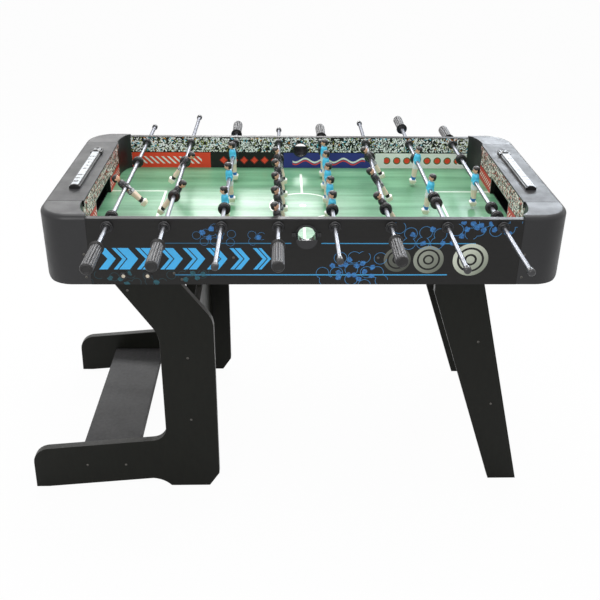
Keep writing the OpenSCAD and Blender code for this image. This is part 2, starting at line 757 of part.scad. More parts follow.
// One player in the rod's frame: head up, toes to +X for both ways of play
module man() {
  torso_d = 18;
  head_r = 10;
  hip_z = -12;
  knee_z = -34;
  ankle_z = -sole_down + 13;
  toe = 9.5;
  side_view = [
    [-4, head_up - 7], [-torso_d / 2, 18], [-torso_d / 2 - 0.5, 4], [-torso_d / 2, hip_z], [-7, knee_z],
    [-5.5, ankle_z], [-toe, ankle_z - 3], [-toe + 2.5, -sole_down + 1], [-toe + 3.5, -sole_down],
    [toe - 3.5, -sole_down], [toe - 2.5, -sole_down + 1], [toe, ankle_z - 3], [5.5, ankle_z], [7, knee_z],
    [torso_d / 2, hip_z], [torso_d / 2 + 0.5, 4], [torso_d / 2, 18], [4, head_up - 7]];
  w = man_w / 2;
  front_view = [
    [-4.5, head_up - 7], [-w + 1.5, 20], [-w, 16], [-w, -2], [-w + 1.5, hip_z],
    [-w + 2.5, ankle_z], [-w + 1.5, -sole_down], [w - 1.5, -sole_down], [w - 2.5, ankle_z], [w - 1.5, hip_z],
    [w, -2], [w, 16], [w - 1.5, 20], [4.5, head_up - 7]];
  difference() {
    union() {
      intersection() {
        xz_plate(man_w / 2, man_w, side_view);
        translate([-toe - 1, 0, 0]) rotate([90, 0, 90]) linear_extrude(2 * toe + 2) polygon(front_view);
      }
      translate([0, 0, head_up]) sphere(r = head_r, $fn = 32);
      y_cylinder(0, -man_w / 2 - 0.5, man_w / 2 + 0.5, 0, rod_r + 3.5);
    }
    y_cylinder(0, -man_w, man_w, 0, rod_r);
  }
}

module men(i) {
  n = rod_men[i];
  team = rod_side[i] < 0 ? [0.1, 0.1, 0.1] : [0.15, 0.7, 0.85];
  place() color(team) rod_frame(i)
    for (k = [0:n - 1]) translate([0, (k - (n - 1) / 2) * men_pitch(n), 0]) man();
}

// Loose rubber rings on the tube, which slide with it but don't turn
module bumpers(i) {
  place() color(black) rod_frame(i, false) for (y = bumper_at[i]) translate([0, y - bumper_l / 2, 0])
    rotate([-90, 0, 0]) difference() {
      rotate_extrude() polygon([
        [0, 0], [bumper_d / 2 - 2, 0], [bumper_d / 2, 2], [bumper_d / 2, bumper_l / 2 - 2],
        [bumper_d / 2 - 2, bumper_l / 2], [bumper_d / 2, bumper_l / 2 + 2], [bumper_d / 2, bumper_l - 2],
        [bumper_d / 2 - 2, bumper_l], [0, bumper_l]]);
      translate([0, 0, -1]) cylinder(h = bumper_l + 2, r = bore_r);
    }
}

side_panel_front();
side_panel_back();
top_trims();
end_panels();
end_rails();
cabinet_screws();
corner_cap_front_left();
corner_cap_front_right();
corner_cap_back_left();
corner_cap_back_right();
playfield();
goal_walls();
goal_pockets();
rod_bearings();
ball_entry_cups();
scorer_bars();
scorer_slider_left();
scorer_slider_right();
leg_hinges();
left_leg_front();
left_leg_rear();
left_leg_foot_board();
left_leg_cross_board();
left_leg_screws();
right_leg_front();
right_leg_rear();
right_leg_cross_board();
right_leg_screws();
for (i = [0:7]) {
  rod_tube(i);
  men(i);
  rod_handle(i);
  bumpers(i);
}
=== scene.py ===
# Looks of the folding foosball table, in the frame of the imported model.
# Places are in metres and come from the CAD nodes' boxes, solids and joints.
# The shapes of the small pieces are written in millimetres, each in a frame of its own.

import json
import random
from functools import reduce
from math import atan2, cos, hypot, pi, radians, sin

import bmesh
import bpy
from mathutils import Matrix, Vector

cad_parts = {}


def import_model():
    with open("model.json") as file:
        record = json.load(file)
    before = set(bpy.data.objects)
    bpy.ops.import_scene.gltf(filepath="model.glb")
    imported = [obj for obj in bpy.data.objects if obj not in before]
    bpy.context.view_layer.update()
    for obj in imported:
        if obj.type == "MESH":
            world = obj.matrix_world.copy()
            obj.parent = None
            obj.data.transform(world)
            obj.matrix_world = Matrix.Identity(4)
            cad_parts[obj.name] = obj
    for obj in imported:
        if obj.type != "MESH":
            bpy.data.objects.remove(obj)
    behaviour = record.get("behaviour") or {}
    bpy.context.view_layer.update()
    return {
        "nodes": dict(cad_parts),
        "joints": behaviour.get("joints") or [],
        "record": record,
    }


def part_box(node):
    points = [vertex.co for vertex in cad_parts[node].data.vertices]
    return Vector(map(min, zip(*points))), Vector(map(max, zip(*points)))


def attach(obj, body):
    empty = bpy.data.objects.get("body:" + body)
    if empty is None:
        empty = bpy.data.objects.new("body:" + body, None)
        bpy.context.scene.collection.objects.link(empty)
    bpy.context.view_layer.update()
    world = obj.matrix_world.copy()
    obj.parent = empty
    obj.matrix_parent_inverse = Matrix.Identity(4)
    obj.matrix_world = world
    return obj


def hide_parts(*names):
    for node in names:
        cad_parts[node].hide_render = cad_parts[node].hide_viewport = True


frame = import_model()

MM = 0.001
RODS = range(1, 9)

front_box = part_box("side_panel_front")
back_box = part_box("side_panel_back")
rail_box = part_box("end_rails")
# The cabinet's middle on the floor, in metres, and sizes for the prints and turned pieces, in millimetres
MIDDLE = Vector(((front_box[0].x + front_box[1].x) / 2, (front_box[0].y + back_box[1].y) / 2, 0))
PANEL_T = (front_box[1].y - front_box[0].y) / MM
PANEL_LOW = front_box[0].z / MM
FIELD_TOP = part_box("playfield")[1].z / MM
RAIL_TOP = rail_box[1].z / MM
RAIL_HALF = (rail_box[1].y - rail_box[0].y) / 2 / MM
GOAL_X = (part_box("goal_walls")[1].x - MIDDLE.x) / MM
# Team of each node of men, from its material slot
TEAMS = {part["node"]: part["material_slot"].removeprefix("team_") for part in frame["record"]["subparts"]}
# Bore of the pieces that sit on or run on a rod
BORE = 5.1


# ---------- Small tools ----------

def rgb(red, green, blue):
    """A colour given as it looks on a screen, 0 to 255, as a linear one."""
    return tuple((c / 255 / 12.92 if c < 10.3 else ((c / 255 + 0.055) / 1.055) ** 2.4)
                 for c in (red, green, blue)) + (1.0,)


def shade(colour, factor):
    """A colour made darker or lighter by a factor."""
    return tuple(min(1.0, c * factor) for c in colour[:3]) + (1.0,)


def smooth(low, high, value):
    """0 at low, 1 at high, and an eased step between."""
    t = min(1.0, max(0.0, (value - low) / (high - low)))
    return t * t * (3 - 2 * t)


def cad_mesh(node):
    """A copy of a CAD node's mesh, with its triangles joined."""
    bm = bmesh.new()
    bm.from_mesh(frame["nodes"][node].data)
    bmesh.ops.remove_doubles(bm, verts=bm.verts, dist=0.002 * MM)
    return bm


def islands(node):
    """The separate solids of a CAD node, each as a list of points, from left to right and front to back."""
    bm = cad_mesh(node)
    left, found = set(bm.verts), []
    while left:
        stack, group = [left.pop()], []
        while stack:
            v = stack.pop()
            group.append(v.co.copy())
            near = {e.other_vert(v) for e in v.link_edges} & left
            left -= near
            stack.extend(near)
        found.append(group)
    bm.free()
    return sorted(found, key=lambda g: (round(sum(p.x for p in g) / len(g), 4), sum(p.y for p in g) / len(g)))


def extent(points):
    """Lowest and highest corner of some points."""
    return (Vector([min(p[k] for p in points) for k in range(3)]),
            Vector([max(p[k] for p in points) for k in range(3)]))


def centred(low, high, y):
    """The point at y in the middle of a box that is seen along Y."""
    return Vector(((low.x + high.x) / 2, y, (low.z + high.z) / 2))


def facing(point, direction):
    """A matrix that puts a piece made along +Z at the point, with its +Z turned to the direction."""
    turn = Vector(direction).to_track_quat("Z", "Y").to_matrix().to_4x4()
    return Matrix.Translation(point) @ turn


def moved(x, y, z):
    """A shift in millimetres."""
    return Matrix.Translation((x * MM, y * MM, z * MM))


def joint_place(name):
    """A point on a joint's axis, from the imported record."""
    return Vector(next(j for j in frame["joints"] if j["name"] == name)["pos_m"])


def rounded(points, steps=4):
    """A polyline of (r, s, fillet) with each corner rounded by its fillet."""
    out = []
    for k, (r, s, fillet) in enumerate(points):
        here = Vector((r, s))
        if not fillet or k in (0, len(points) - 1):
            out.append((r, s))
            continue
        before, after = Vector(points[k - 1][:2]) - here, Vector(points[k + 1][:2]) - here
        a = here + before.normalized() * min(fillet, before.length * 0.5)
        b = here + after.normalized() * min(fillet, after.length * 0.5)
        for i in range(steps + 1):
            t = i / steps
            p = a * (1 - t) ** 2 + here * 2 * t * (1 - t) + b * t * t
            out.append((p.x, p.y))
    return out


# ---------- Mesh building, in millimetres ----------

def circle(segments):
    """The angles of the points of a ring."""
    return [2 * pi * k / segments for k in range(segments)]


def bridge(bm, low, high, marks=(0,)):
    """Faces between two rings of as many points, or a ring and a single point, each with the next material
    of the marks."""
    for k in range(max(len(low), len(high))):
        corners = [low[k % len(low)], low[(k + 1) % len(low)], high[(k + 1) % len(high)], high[k % len(high)]]
        corners = [v for i, v in enumerate(corners) if v not in corners[:i]]
        bm.faces.new(corners).material_index = marks[k % len(marks)]


def lathe(bm, profile, place, segments, index=0, closed=False, wave=None, paint=None):
    """A turned form from (radius, height) points, closed where the last point goes on to the first. Wave
    changes a radius, and paint picks the material, by height and angle."""
    rings = []
    for r, s in profile:
        if r < 0.001:
            rings.append([bm.verts.new(place @ Vector((0, 0, s * MM)))])
            continue
        ring = []
        for a in circle(segments):
            q = wave(r, s, a) if wave else r
            ring.append(bm.verts.new(place @ Vector((q * cos(a) * MM, q * sin(a) * MM, s * MM))))
        rings.append(ring)
    if closed:
        rings.append(rings[0])
    for k, (low, high) in enumerate(zip(rings, rings[1:])):
        marks = (index,)
        if paint:
            s = (profile[k][1] + profile[k + 1][1]) / 2
            marks = [paint(s, a + pi / segments) for a in circle(segments)]
        bridge(bm, low, high, marks)


def loft(bm, sections, place, segments):
    """A soft form through rounded sections (height, x, y, half depth, half width, roundness, material)."""
    rings = []
    for z, x, y, a, b, power, _ in sections:
        ring = []
        for angle in circle(segments):
            c, s = cos(angle), sin(angle)
            q = (abs(c) ** power + abs(s) ** power) ** (-1 / power)
            ring.append(bm.verts.new(place @ (Vector((x + a * q * c, y + b * q * s, z)) * MM)))
        rings.append(ring)
    for low, high, section in zip(rings, rings[1:], sections):
        bridge(bm, low, high, section[-1:])
    bm.faces.new(list(reversed(rings[0]))).material_index = sections[0][-1]
    bm.faces.new(rings[-1]).material_index = sections[-2][-1]


def eased(bm, edges, width, steps):
    """Rounds edges by a width in millimetres and gives the new faces."""
    return bmesh.ops.bevel(bm, geom=edges, offset=width * MM, segments=steps, profile=0.5,
                           affect="EDGES", clamp_overlap=True)["faces"]


def slab(bm, low, high, round_by, place, index=0, steps=2):
    """A block between two corners with all its edges rounded."""
    made = bmesh.ops.create_cube(bm, size=1)["verts"]
    low, high = Vector(low) * MM, Vector(high) * MM
    for v in made:
        v.co = place @ Vector([low[k] + (v.co[k] + 0.5) * (high[k] - low[k]) for k in range(3)])
    edges = list({e for v in made for e in v.link_edges})
    faces = {f for v in made for f in v.link_faces}
    new = eased(bm, edges, round_by, steps)
    for f in set(new) | {f for f in faces if f.is_valid}:
        f.material_index = index


def shown(name, data):
    """An object in the scene."""
    made = bpy.data.objects.new(name, data)
    bpy.context.scene.collection.objects.link(made)
    return made


def shown_mesh(name, bm, materials):
    """An object made of a finished bmesh."""
    mesh = bpy.data.meshes.new(name)
    bm.to_mesh(mesh)
    bm.free()
    for material in materials:
        mesh.materials.append(material)
    return shown(name, mesh)


def piece(name, bm, materials, body, slot, nodes=(), crease=35, weighted=False):
    """Makes the finished object, lets it ride on its body and stand for its CAD nodes."""
    bmesh.ops.recalc_face_normals(bm, faces=bm.faces)
    made = shown_mesh(name, bm, materials)
    made.data.polygons.foreach_set("use_smooth", [True] * len(made.data.polygons))
    made.data.set_sharp_from_angle(angle=radians(crease))
    if weighted:
        made.modifiers.new("even_shading", "WEIGHTED_NORMAL").keep_sharp = True
    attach(made, body)
    if nodes:
        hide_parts(*nodes)


def softened(node, body, material, slot, width):
    """A copy of a CAD node whose sharp edges are rounded by width, in millimetres."""
    bm = cad_mesh(node)
    bmesh.ops.dissolve_limit(bm, angle_limit=radians(0.3), verts=bm.verts, edges=bm.edges)
    eased(bm, [e for e in bm.edges if e.is_manifold and e.calc_face_angle(0) > radians(32)], width, 2)
    for f in bm.faces:
        f.material_index = 0
    piece(node + "_finish", bm, [material], body, slot, [node], crease=50, weighted=True)


# ---------- Materials ----------

class Nodes:
    """Builds a material or a world. A value may be a number, a colour or another node's socket."""

    def __init__(self, name, home="materials", main="Principled BSDF", **shader):
        self.made = getattr(bpy.data, home).new(name)
        self.made.use_nodes = True
        self.tree = self.made.node_tree
        self.shader = self.tree.nodes[main]
        self.set(**shader)

    def fill(self, made, **values):
        """Sets a node's inputs by their names, with _ for a space."""
        for key, value in values.items():
            self.put(made.inputs[key.replace("_", " ")], value)
        return made

    def set(self, **values):
        self.fill(self.shader, **values)

    def new(self, kind):
        return self.tree.nodes.new("ShaderNode" + kind)

    def put(self, socket, value):
        if isinstance(value, bpy.types.NodeSocket):
            self.tree.links.new(value, socket)
        else:
            socket.default_value = value

    def add(self, kind, *inputs, output=0, **settings):
        """A node with its settings and its first inputs; gives the wanted output socket."""
        made = self.new(kind)
        for key, value in settings.items():
            setattr(made, key, value)
        for socket, value in zip(made.inputs, inputs):
            self.put(socket, value)
        return made.outputs[output]

    def math(self, operation, a, b=0.0, c=0.0):
        return self.add("Math", a, b, c, operation=operation)

    def plus(self, a, b):
        return self.math("ADD", a, b)

    def minus(self, a, b):
        return self.math("SUBTRACT", a, b)

    def times(self, a, b):
        return self.math("MULTIPLY", a, b)

    def size(self, value):
        return self.math("ABSOLUTE", value)

    def cycle(self, value, period):
        """How far the value has come through its period, from 0 to 1."""
        return self.math("FRACT", self.math("DIVIDE", value, period))

    def below(self, value, limit):
        return self.math("LESS_THAN", value, limit)

    def above(self, value, limit):
        return self.math("GREATER_THAN", value, limit)

    def vector(self, operation, a, b):
        return self.add("VectorMath", a, b, operation=operation)

    def coords(self, stretch=(1, 1, 1)):
        """Place on the piece in millimetres from the cabinet's middle, divided by stretch on each axis."""
        off = self.vector("SUBTRACT", self.add("TexCoord", output=3), MIDDLE)
        return self.vector("MULTIPLY", off, tuple(1000 / s for s in stretch))

    def parts(self, vector):
        return tuple(self.fill(self.new("SeparateXYZ"), Vector=vector).outputs)

    def normal(self):
        """The surface's direction in the piece's own frame."""
        return self.parts(self.add("TexCoord", output=1))

    def noise(self, vector, size, detail, roughness=0.5):
        made = self.new("TexNoise")
        return self.fill(made, Vector=vector, Scale=1 / size, Detail=detail, Roughness=roughness).outputs[0]

    def cells(self, vector, size, flat=False, randomness=1.0):
        """Random cells: distance to the cell's point in cell sizes, a random colour, and the point itself."""
        made = self.new("TexVoronoi")
        if flat:
            made.voronoi_dimensions = "2D"
        self.fill(made, Vector=vector, Scale=1 / size, Randomness=randomness)
        return tuple(made.outputs[k] for k in ("Distance", "Color", "Position"))

    def mix(self, factor, a, b):
        made = self.new("Mix")
        made.data_type = "RGBA"
        for k, value in ((0, factor), (6, a), (7, b)):
            self.put(made.inputs[k], value)
        return made.outputs[2]

    def ramp(self, factor, low, high, to_low=0.0, to_high=1.0):
        return self.add("MapRange", factor, low, high, to_low, to_high)

    def palette(self, factor, colours):
        """Picks one of the (share, colour) pairs by a random factor from 0 to 1."""
        made = self.new("ValToRGB")
        made.color_ramp.interpolation = "CONSTANT"
        stops, place = made.color_ramp.elements, 0.0
        for k, (share, colour) in enumerate(colours):
            stop = stops[k] if k < 2 else stops.new(place)
            stop.position, stop.color = place, colour
            place += share
        self.put(made.inputs[0], factor)
        return made.outputs[0]

    def near(self, value, middle, half):
        """1 where the value lies within half of the middle."""
        return self.math("COMPARE", value, middle, half)

    def between(self, value, low, high):
        return self.near(value, (low + high) / 2, (high - low) / 2)

    def larger(self, a, b):
        return self.math("MAXIMUM", a, b)

    def both(self, *masks):
        return reduce(self.times, masks)

    def either(self, *masks):
        return reduce(self.larger, masks)

    def invert(self, mask):
        return self.minus(1.0, mask)

    def flat(self, u, v):
        """A point of a print, from its two coordinates."""
        return self.add("CombineXYZ", u, v, 0.0)

    def distance(self, point, u, v):
        return self.add("VectorMath", point, (u, v, 0), output=1, operation="DISTANCE")

    def bump(self, height, depth):
        """Relief of the given depth in millimetres."""
        made = self.fill(self.new("Bump"), Strength=1.0, Distance=depth * MM, Height=height)
        self.set(Normal=made.outputs[0])

    def finish(self, colour, rough, grain=0.8, depth=0.02, smudge=45.0, spread=0.14):
        """Colour, a roughness that changes with smudges, and a fine grain."""
        place = self.coords()
        smudges = self.noise(place, smudge, 5, 0.6)
        roughness = self.ramp(smudges, 0.3, 0.7, rough - spread / 2, rough + spread / 2)
        self.set(Base_Color=colour, Roughness=roughness)
        self.bump(self.noise(place, grain, 2), depth)
        return self.made

    def rays(self):
        """1 for rays from the camera, and 1 for rays off a gloss or through glass."""
        light = self.new("LightPath")
        camera, gloss, glass = (light.outputs[f"Is {k} Ray"] for k in ("Camera", "Glossy", "Transmission"))
        return camera, self.either(gloss, glass)


def surface(name, colour, rough, mottle=0.16, patch=28.0, stretch=(1, 1, 1), grain=0.4, depth=0.01,
            smudge=45.0, spread=0.14, **shader):
    """A plain surface with patches of tone, smudges and grain."""
    n = Nodes(name, **shader)
    tone = n.noise(n.coords(stretch), patch, 4, 0.6)
    base = n.mix(n.ramp(tone, 0.3, 0.7), shade(colour, 1 - mottle), shade(colour, 1 + mottle))
    return n.finish(base, rough, grain, depth, smudge, spread)


def board(name, face, edge, axis):
    """A laminated board, its thickness along the axis: film on its faces, band on its edges, and rounded
    arrises made paler, partly as wear and partly as a painted highlight.
    """
    n = Nodes(name, Specular_IOR_Level=0.2)
    place = n.coords()
    across = n.size(n.normal()[axis])
    tone = n.ramp(n.noise(n.coords((1, 1, 4)), 9, 5, 0.65), 0.3, 0.7)
    film = n.mix(tone, shade(face, 0.82), shade(face, 1.2))
    band = n.mix(tone, shade(edge, 0.85), shade(edge, 1.15))
    # The arrises between face and edge are up to twice as light as the band: partly wear, partly a painted
    # highlight along the edges
    worn = n.mix(n.noise(place, 14, 4), shade(edge, 1.1), shade(edge, 2.2))
    colour = n.mix(n.above(across, 0.93), worn, film)
    colour = n.mix(n.below(across, 0.3), colour, band)
    dust = n.ramp(n.cells(place, 11)[0], 0.0, 0.045, 1.0, 0.0)
    colour = n.mix(n.times(dust, 0.3), colour, rgb(140, 140, 135))
    return n.finish(colour, 0.42, 0.7, 0.015, 60)


# Print colours
SKY = rgb(78, 192, 255)
TEAL = rgb(38, 92, 104)
DEEP = rgb(76, 160, 226)
PAPER = rgb(252, 251, 248)
INK = rgb(18, 18, 18)
RED = rgb(250, 78, 52)
NAVY = rgb(54, 60, 140)
LEAF = rgb(52, 112, 62)


def bubbles(n, point, colour, clusters, size, line, blot):
    """Thin rings on a grid of the size, and blots, in clusters given as (u, v, half width, half height)."""
    def crowding(place, luck):
        """Above 0 in the clusters, more so near their middles, with some chance for each place."""
        out = -1.0
        for u, v, wide, high in clusters:
            away = n.distance(n.vector("MULTIPLY", place, (1 / wide, 1 / high, 0)), u / wide, v / high)
            out = n.larger(out, n.minus(1.0, away))
        return n.plus(out, n.times(n.minus(luck, 0.5), 0.5))

    wobble = n.times(n.minus(n.noise(point, 6, 3), 0.5), 0.35)
    away, luck, middle = n.cells(point, 21, flat=True, randomness=0.9)
    spot = n.below(n.plus(away, wobble), 0.3)
    inside = n.above(crowding(middle, n.parts(luck)[0]), 0.42)
    texture = n.ramp(n.noise(point, 5, 3), 0.35, 0.65, 0.45, 1.0)
    colour = n.mix(n.both(spot, inside, texture), colour, blot)
    # The rings' grid is shifted, so that they and the blots fall in different places
    shift = (7, 5, 0)
    away, luck, middle = n.cells(n.vector("ADD", point, shift), size, flat=True, randomness=0.6)
    ring = n.near(away, 0.44, 0.015)
    inside = n.above(crowding(n.vector("SUBTRACT", middle, shift), n.parts(luck)[0]), 0.1)
    return n.mix(n.times(n.both(ring, inside), 0.85), colour, line)


def apron_print(n, u, v, ground):
    """Outer face of a side panel: u from the middle to the viewer's right, v up from the lower edge."""
    point = n.flat(u, v)
    # Two thin lines that fade to the left; the upper one stops at the ball entry cup
    cup_half, upper_v, lower_v = 34, 105, 25
    upper = n.both(n.near(v, upper_v, 1.2), n.between(u, -330, 386), n.above(n.size(u), cup_half))
    lower = n.both(n.near(v, lower_v, 1.4), n.between(u, -300, 327))
    colour = n.mix(n.both(upper, n.ramp(u, -200, 40, 0.3, 0.9)), ground, shade(SKY, 0.75))
    colour = n.mix(n.both(lower, n.ramp(u, -300, -120, 0.4, 1.0)), colour, shade(SKY, 0.85))
    # Chevrons with a slit each, that grow thinner to the right
    start, end, height, half, pitch = -450, -80, 66, 27, 53
    lean = n.plus(u, n.times(n.size(n.minus(v, height)), 0.8))
    share = n.cycle(n.plus(lean, 1000), pitch)
    body = n.below(share, n.ramp(u, start, end, 0.74, 0.4))
    slit = n.near(share, 0.2, 0.028)
    row = n.both(n.near(v, height, half), n.between(lean, start, end))
    colour = n.mix(n.both(row, body, n.invert(slit)), colour, SKY)
    # Pale targets (place, radius, strength), fainter to the left
    for place, r, strength in ((378, 41, 0.95), (281, 35, 0.5), (209, 31, 0.2)):
        away = n.distance(point, place, 64)
        ring = n.math("SINE", n.times(n.minus(away, r), 2 * pi / (r / 2.5)))
        light = n.ramp(n.plus(n.minus(v, u), place), -10, 100)
        sheen = n.mix(light, rgb(128, 136, 120), rgb(224, 230, 212))
        colour = n.mix(n.times(n.both(n.below(away, r), n.below(ring, 0.55)), strength), colour, sheen)
    # Bubbles at the right, above the chevrons, and dim ones along the lower edge at the left
    turn, blot = -90, rgb(66, 136, 208)
    right = ((400, 142, 110, 32), (290, 124, 90, 34), (118, 34, 88, 52))
    colour = n.mix(n.above(u, turn), colour, bubbles(n, point, colour, right, 33, DEEP, blot))
    above = ((-205, 122, 62, 26), (-125, 122, 24, 20))
    colour = bubbles(n, point, colour, above, 21, shade(DEEP, 0.9), blot)
    low = ((-395, 14, 110, 22), (-250, 20, 90, 16))
    dim = bubbles(n, point, colour, low, 24, shade(TEAL, 0.8), shade(TEAL, 1.2))
    return n.mix(n.below(u, turn), colour, dim)


def strokes(n, point, size, long, wide, ground, colours):
    """Short strokes in all directions, one around the point of each cell."""
    _, luck, middle = n.cells(point, size, flat=True)
    luck = n.parts(luck)
    dx, dy, _ = n.parts(n.vector("SUBTRACT", point, middle))
    turn = n.times(luck[0], 2 * pi)
    c, s = n.math("COSINE", turn), n.math("SINE", turn)
    along = n.math("DIVIDE", n.plus(n.times(dx, c), n.times(dy, s)), long / 2)
    across = n.math("DIVIDE", n.minus(n.times(dy, c), n.times(dx, s)), wide / 2)
    inside = n.below(n.plus(n.times(along, along), n.times(across, across)), 1.0)
    return n.mix(inside, ground, n.palette(luck[1], colours))


def crowd(n, point, colours):
    """A full stand, seen from far off as three layers of light and dark strokes."""
    colour = strokes(n, point, 6, 9, 4.2, rgb(14, 15, 12), colours)
    colour = strokes(n, n.vector("ADD", point, (61, 37, 0)), 7, 10, 3, colour, colours)
    return strokes(n, n.vector("ADD", point, (23, 71, 0)), 9, 10, 2.4, colour, colours)


# (share, colour) of a crowd's strokes: along the sides, and at the ends
CROWD_COLD = ((0.33, rgb(12, 14, 12)), (0.34, rgb(255, 253, 255)), (0.08, rgb(210, 212, 210)),
              (0.07, rgb(146, 150, 74)), (0.04, rgb(96, 186, 215)), (0.03, rgb(206, 132, 64)),
              (0.11, rgb(242, 242, 244)))
CROWD_WARM = ((0.26, rgb(26, 16, 14)), (0.34, rgb(255, 250, 246)), (0.16, rgb(238, 200, 192)),
              (0.1, rgb(214, 60, 52)), (0.06, rgb(150, 124, 84)), (0.08, rgb(74, 60, 50)))


def stand_print(n, u, v):
    """Inner face of a side panel, v up from the playfield: boards along it and the crowd above them."""
    board_top, margin, step, r = 46, 26, 30, 9.5
    colour = crowd(n, n.flat(u, v), CROWD_COLD)
    colour = n.mix(n.near(v, board_top + 1, 1.1), colour, INK)
    # Place in a board's row of marks: across from a mark's middle, and up from the board's middle
    column = n.times(n.minus(n.cycle(n.plus(u, 900), step), 0.5), step)
    rise = n.minus(v, board_top / 2)
    stripes = n.both(n.below(n.cycle(n.plus(u, n.plus(v, 900)), 17), 0.4), n.near(v, board_top / 2, 11))
    diamond = n.plus(n.size(column), n.size(rise))
    wave = n.times(n.math("SINE", n.math("DIVIDE", u, 9)), 6)
    away = n.math("SQRT", n.plus(n.times(column, column), n.times(rise, rise)))
    # Ends of each board, its ground and its marks (mask, colour)
    boards = (
        (-491, -263, RED, ((stripes, PAPER),)),
        (-263, -49, INK, ((n.below(diamond, 11), RED), (n.near(diamond, 11, 1.6), shade(RED, 0.4)))),
        (-49, 217, NAVY, ((n.near(rise, wave, 2.8), PAPER), (n.near(n.plus(rise, 7), wave, 1.8), RED))),
        (221, 491, PAPER, ((n.below(away, r), RED), (n.near(away, r, 1.5), LEAF))))
    for low, high, ground, marks in boards:
        tile = n.both(n.between(u, low, high), n.between(v, 0, board_top))
        inner = n.both(n.between(u, low + margin, high - margin), tile)
        colour = n.mix(tile, colour, ground)
        for mask, tint in marks:
            colour = n.mix(n.both(inner, mask), colour, tint)
    return colour


def side_panel_material():
    """The print outside, the stand inside above the playfield, and raw fibreboard inside below it."""
    n = Nodes("side_panel_print", Specular_IOR_Level=0.35)
    x, y, z = n.parts(n.coords())
    # Which way a face looks, out of the table or into it, and the way to the right for who faces it outside
    front = n.below(y, 0.0)
    turned = n.times(n.normal()[1], n.ramp(front, 0, 1, 1.0, -1.0))
    u = n.times(x, n.ramp(front, 0, 1, -1.0, 1.0))
    film = n.mix(n.ramp(n.noise(n.coords((3, 1, 1)), 8, 5, 0.65), 0.3, 0.7), rgb(13, 12, 11), rgb(20, 19, 18))
    outer = apron_print(n, u, n.minus(z, PANEL_LOW), film)
    inner = stand_print(n, x, n.minus(z, FIELD_TOP))
    raw = n.mix(n.noise(n.coords(), 3, 4), rgb(96, 74, 50), rgb(128, 102, 72))
    low = n.below(z, FIELD_TOP)
    colour = n.mix(n.above(turned, 0.6), n.mix(low, raw, film), outer)
    colour = n.mix(n.both(n.below(turned, -0.6), n.invert(low)), colour, inner)
    return n.finish(colour, 0.4, 0.7, 0.008, 70)


def goal_wall_material():
    """The warm crowd over a hatched board, and a grey rim around the goal mouth."""
    n = Nodes("goal_wall_print", Specular_IOR_Level=0.3)
    board_top, rim_half, rim_top = 38, 91.5, 49.5
    x, y, z = n.parts(n.coords())
    v = n.minus(z, FIELD_TOP)
    colour = crowd(n, n.flat(y, v), CROWD_WARM)
    hatch = n.below(n.cycle(n.plus(n.plus(y, v), 900), 14), 0.3)
    band = n.mix(n.both(hatch, n.near(v, board_top / 2, 8)), rgb(214, 52, 46), PAPER)
    colour = n.mix(n.below(v, board_top), colour, band)
    colour = n.mix(n.near(v, board_top + 1, 1.0), colour, INK)
    rim = n.both(n.near(y, 0, rim_half), n.below(v, rim_top))
    colour = n.mix(rim, colour, rgb(150, 152, 148))
    inward = n.times(n.normal()[0], n.math("SIGN", x))
    colour = n.mix(n.below(inward, -0.6), rgb(20, 20, 20), colour)
    return n.finish(colour, 0.4, 0.7, 0.008, 70)


def rail_material():
    """Grained plastic whose inner lip, below its rounded edge, goes on with the goal wall's crowd, and a dark
    band at each end, painted shadow of the joint with the cap.
    """
    n = Nodes("end_rail_plastic", Specular_IOR_Level=0.42)
    edge, joint_shadow_width = 4, 2
    x, y, z = n.parts(n.coords())
    tone = n.ramp(n.noise(n.coords(), 60, 4, 0.6), 0.3, 0.7)
    plastic = n.mix(tone, rgb(28, 28, 30), rgb(33, 33, 35))
    inward = n.times(n.normal()[0], n.math("SIGN", x))
    lip = n.both(n.below(inward, -0.8), n.below(z, RAIL_TOP - edge))
    colour = n.mix(lip, plastic, crowd(n, n.flat(y, n.minus(z, FIELD_TOP)), CROWD_WARM))
    # A near-black band painted along each end of the rail: painted shadow standing for the shade in the joint
    # with the cap
    joint = n.above(n.size(y), RAIL_HALF - joint_shadow_width)
    return n.finish(n.mix(joint, colour, rgb(6, 6, 6)), 0.46, 0.45, 0.03)


def field_material():
    """Green film with mowing bands and white lines on top, brown hardboard below."""
    n = Nodes("field_print", Specular_IOR_Level=0.5)
    x, y, _ = n.parts(n.coords())
    point = n.flat(x, y)
    bands = n.noise(n.coords((14, 1, 1)), 26, 3, 0.55)
    mown = n.times(n.math("SINE", n.math("DIVIDE", y, 12)), 0.1)
    tone = n.ramp(n.plus(bands, mown), 0.3, 0.72)
    grass = n.mix(tone, rgb(78, 136, 100), rgb(122, 178, 140))
    blades = n.ramp(n.noise(n.coords((3, 1, 1)), 2.2, 3), 0.35, 0.65)
    grass = n.mix(n.times(blades, 0.16), grass, rgb(150, 195, 160))
    centre = n.distance(point, 0, 0)
    out = n.size(x)
    # Halfway line with the circle and the spot, and the penalty box at each end
    circle, spot, line_end, box_x, box_y, half_line = 85, 9, 238, GOAL_X - 155, 101, 3.2
    lines = n.either(
        n.both(n.near(x, 0, half_line), n.near(y, 0, line_end), n.above(centre, circle)),
        n.near(centre, circle, half_line),
        n.below(centre, spot),
        n.both(n.near(out, box_x, half_line), n.near(y, 0, box_y)),
        n.both(n.near(n.size(y), box_y, half_line), n.above(out, box_x - half_line)))
    worn = n.ramp(n.noise(point, 9, 4), 0.25, 0.5, 0.75, 0.95)
    colour = n.mix(n.both(lines, worn), grass, rgb(232, 240, 230))
    hardboard = n.mix(n.noise(n.coords(), 3, 4), rgb(104, 78, 50), rgb(138, 108, 74))
    colour = n.mix(n.above(n.normal()[2], 0.5), hardboard, colour)
    return n.finish(colour, 0.36, 1.6, 0.012, 90, 0.1)


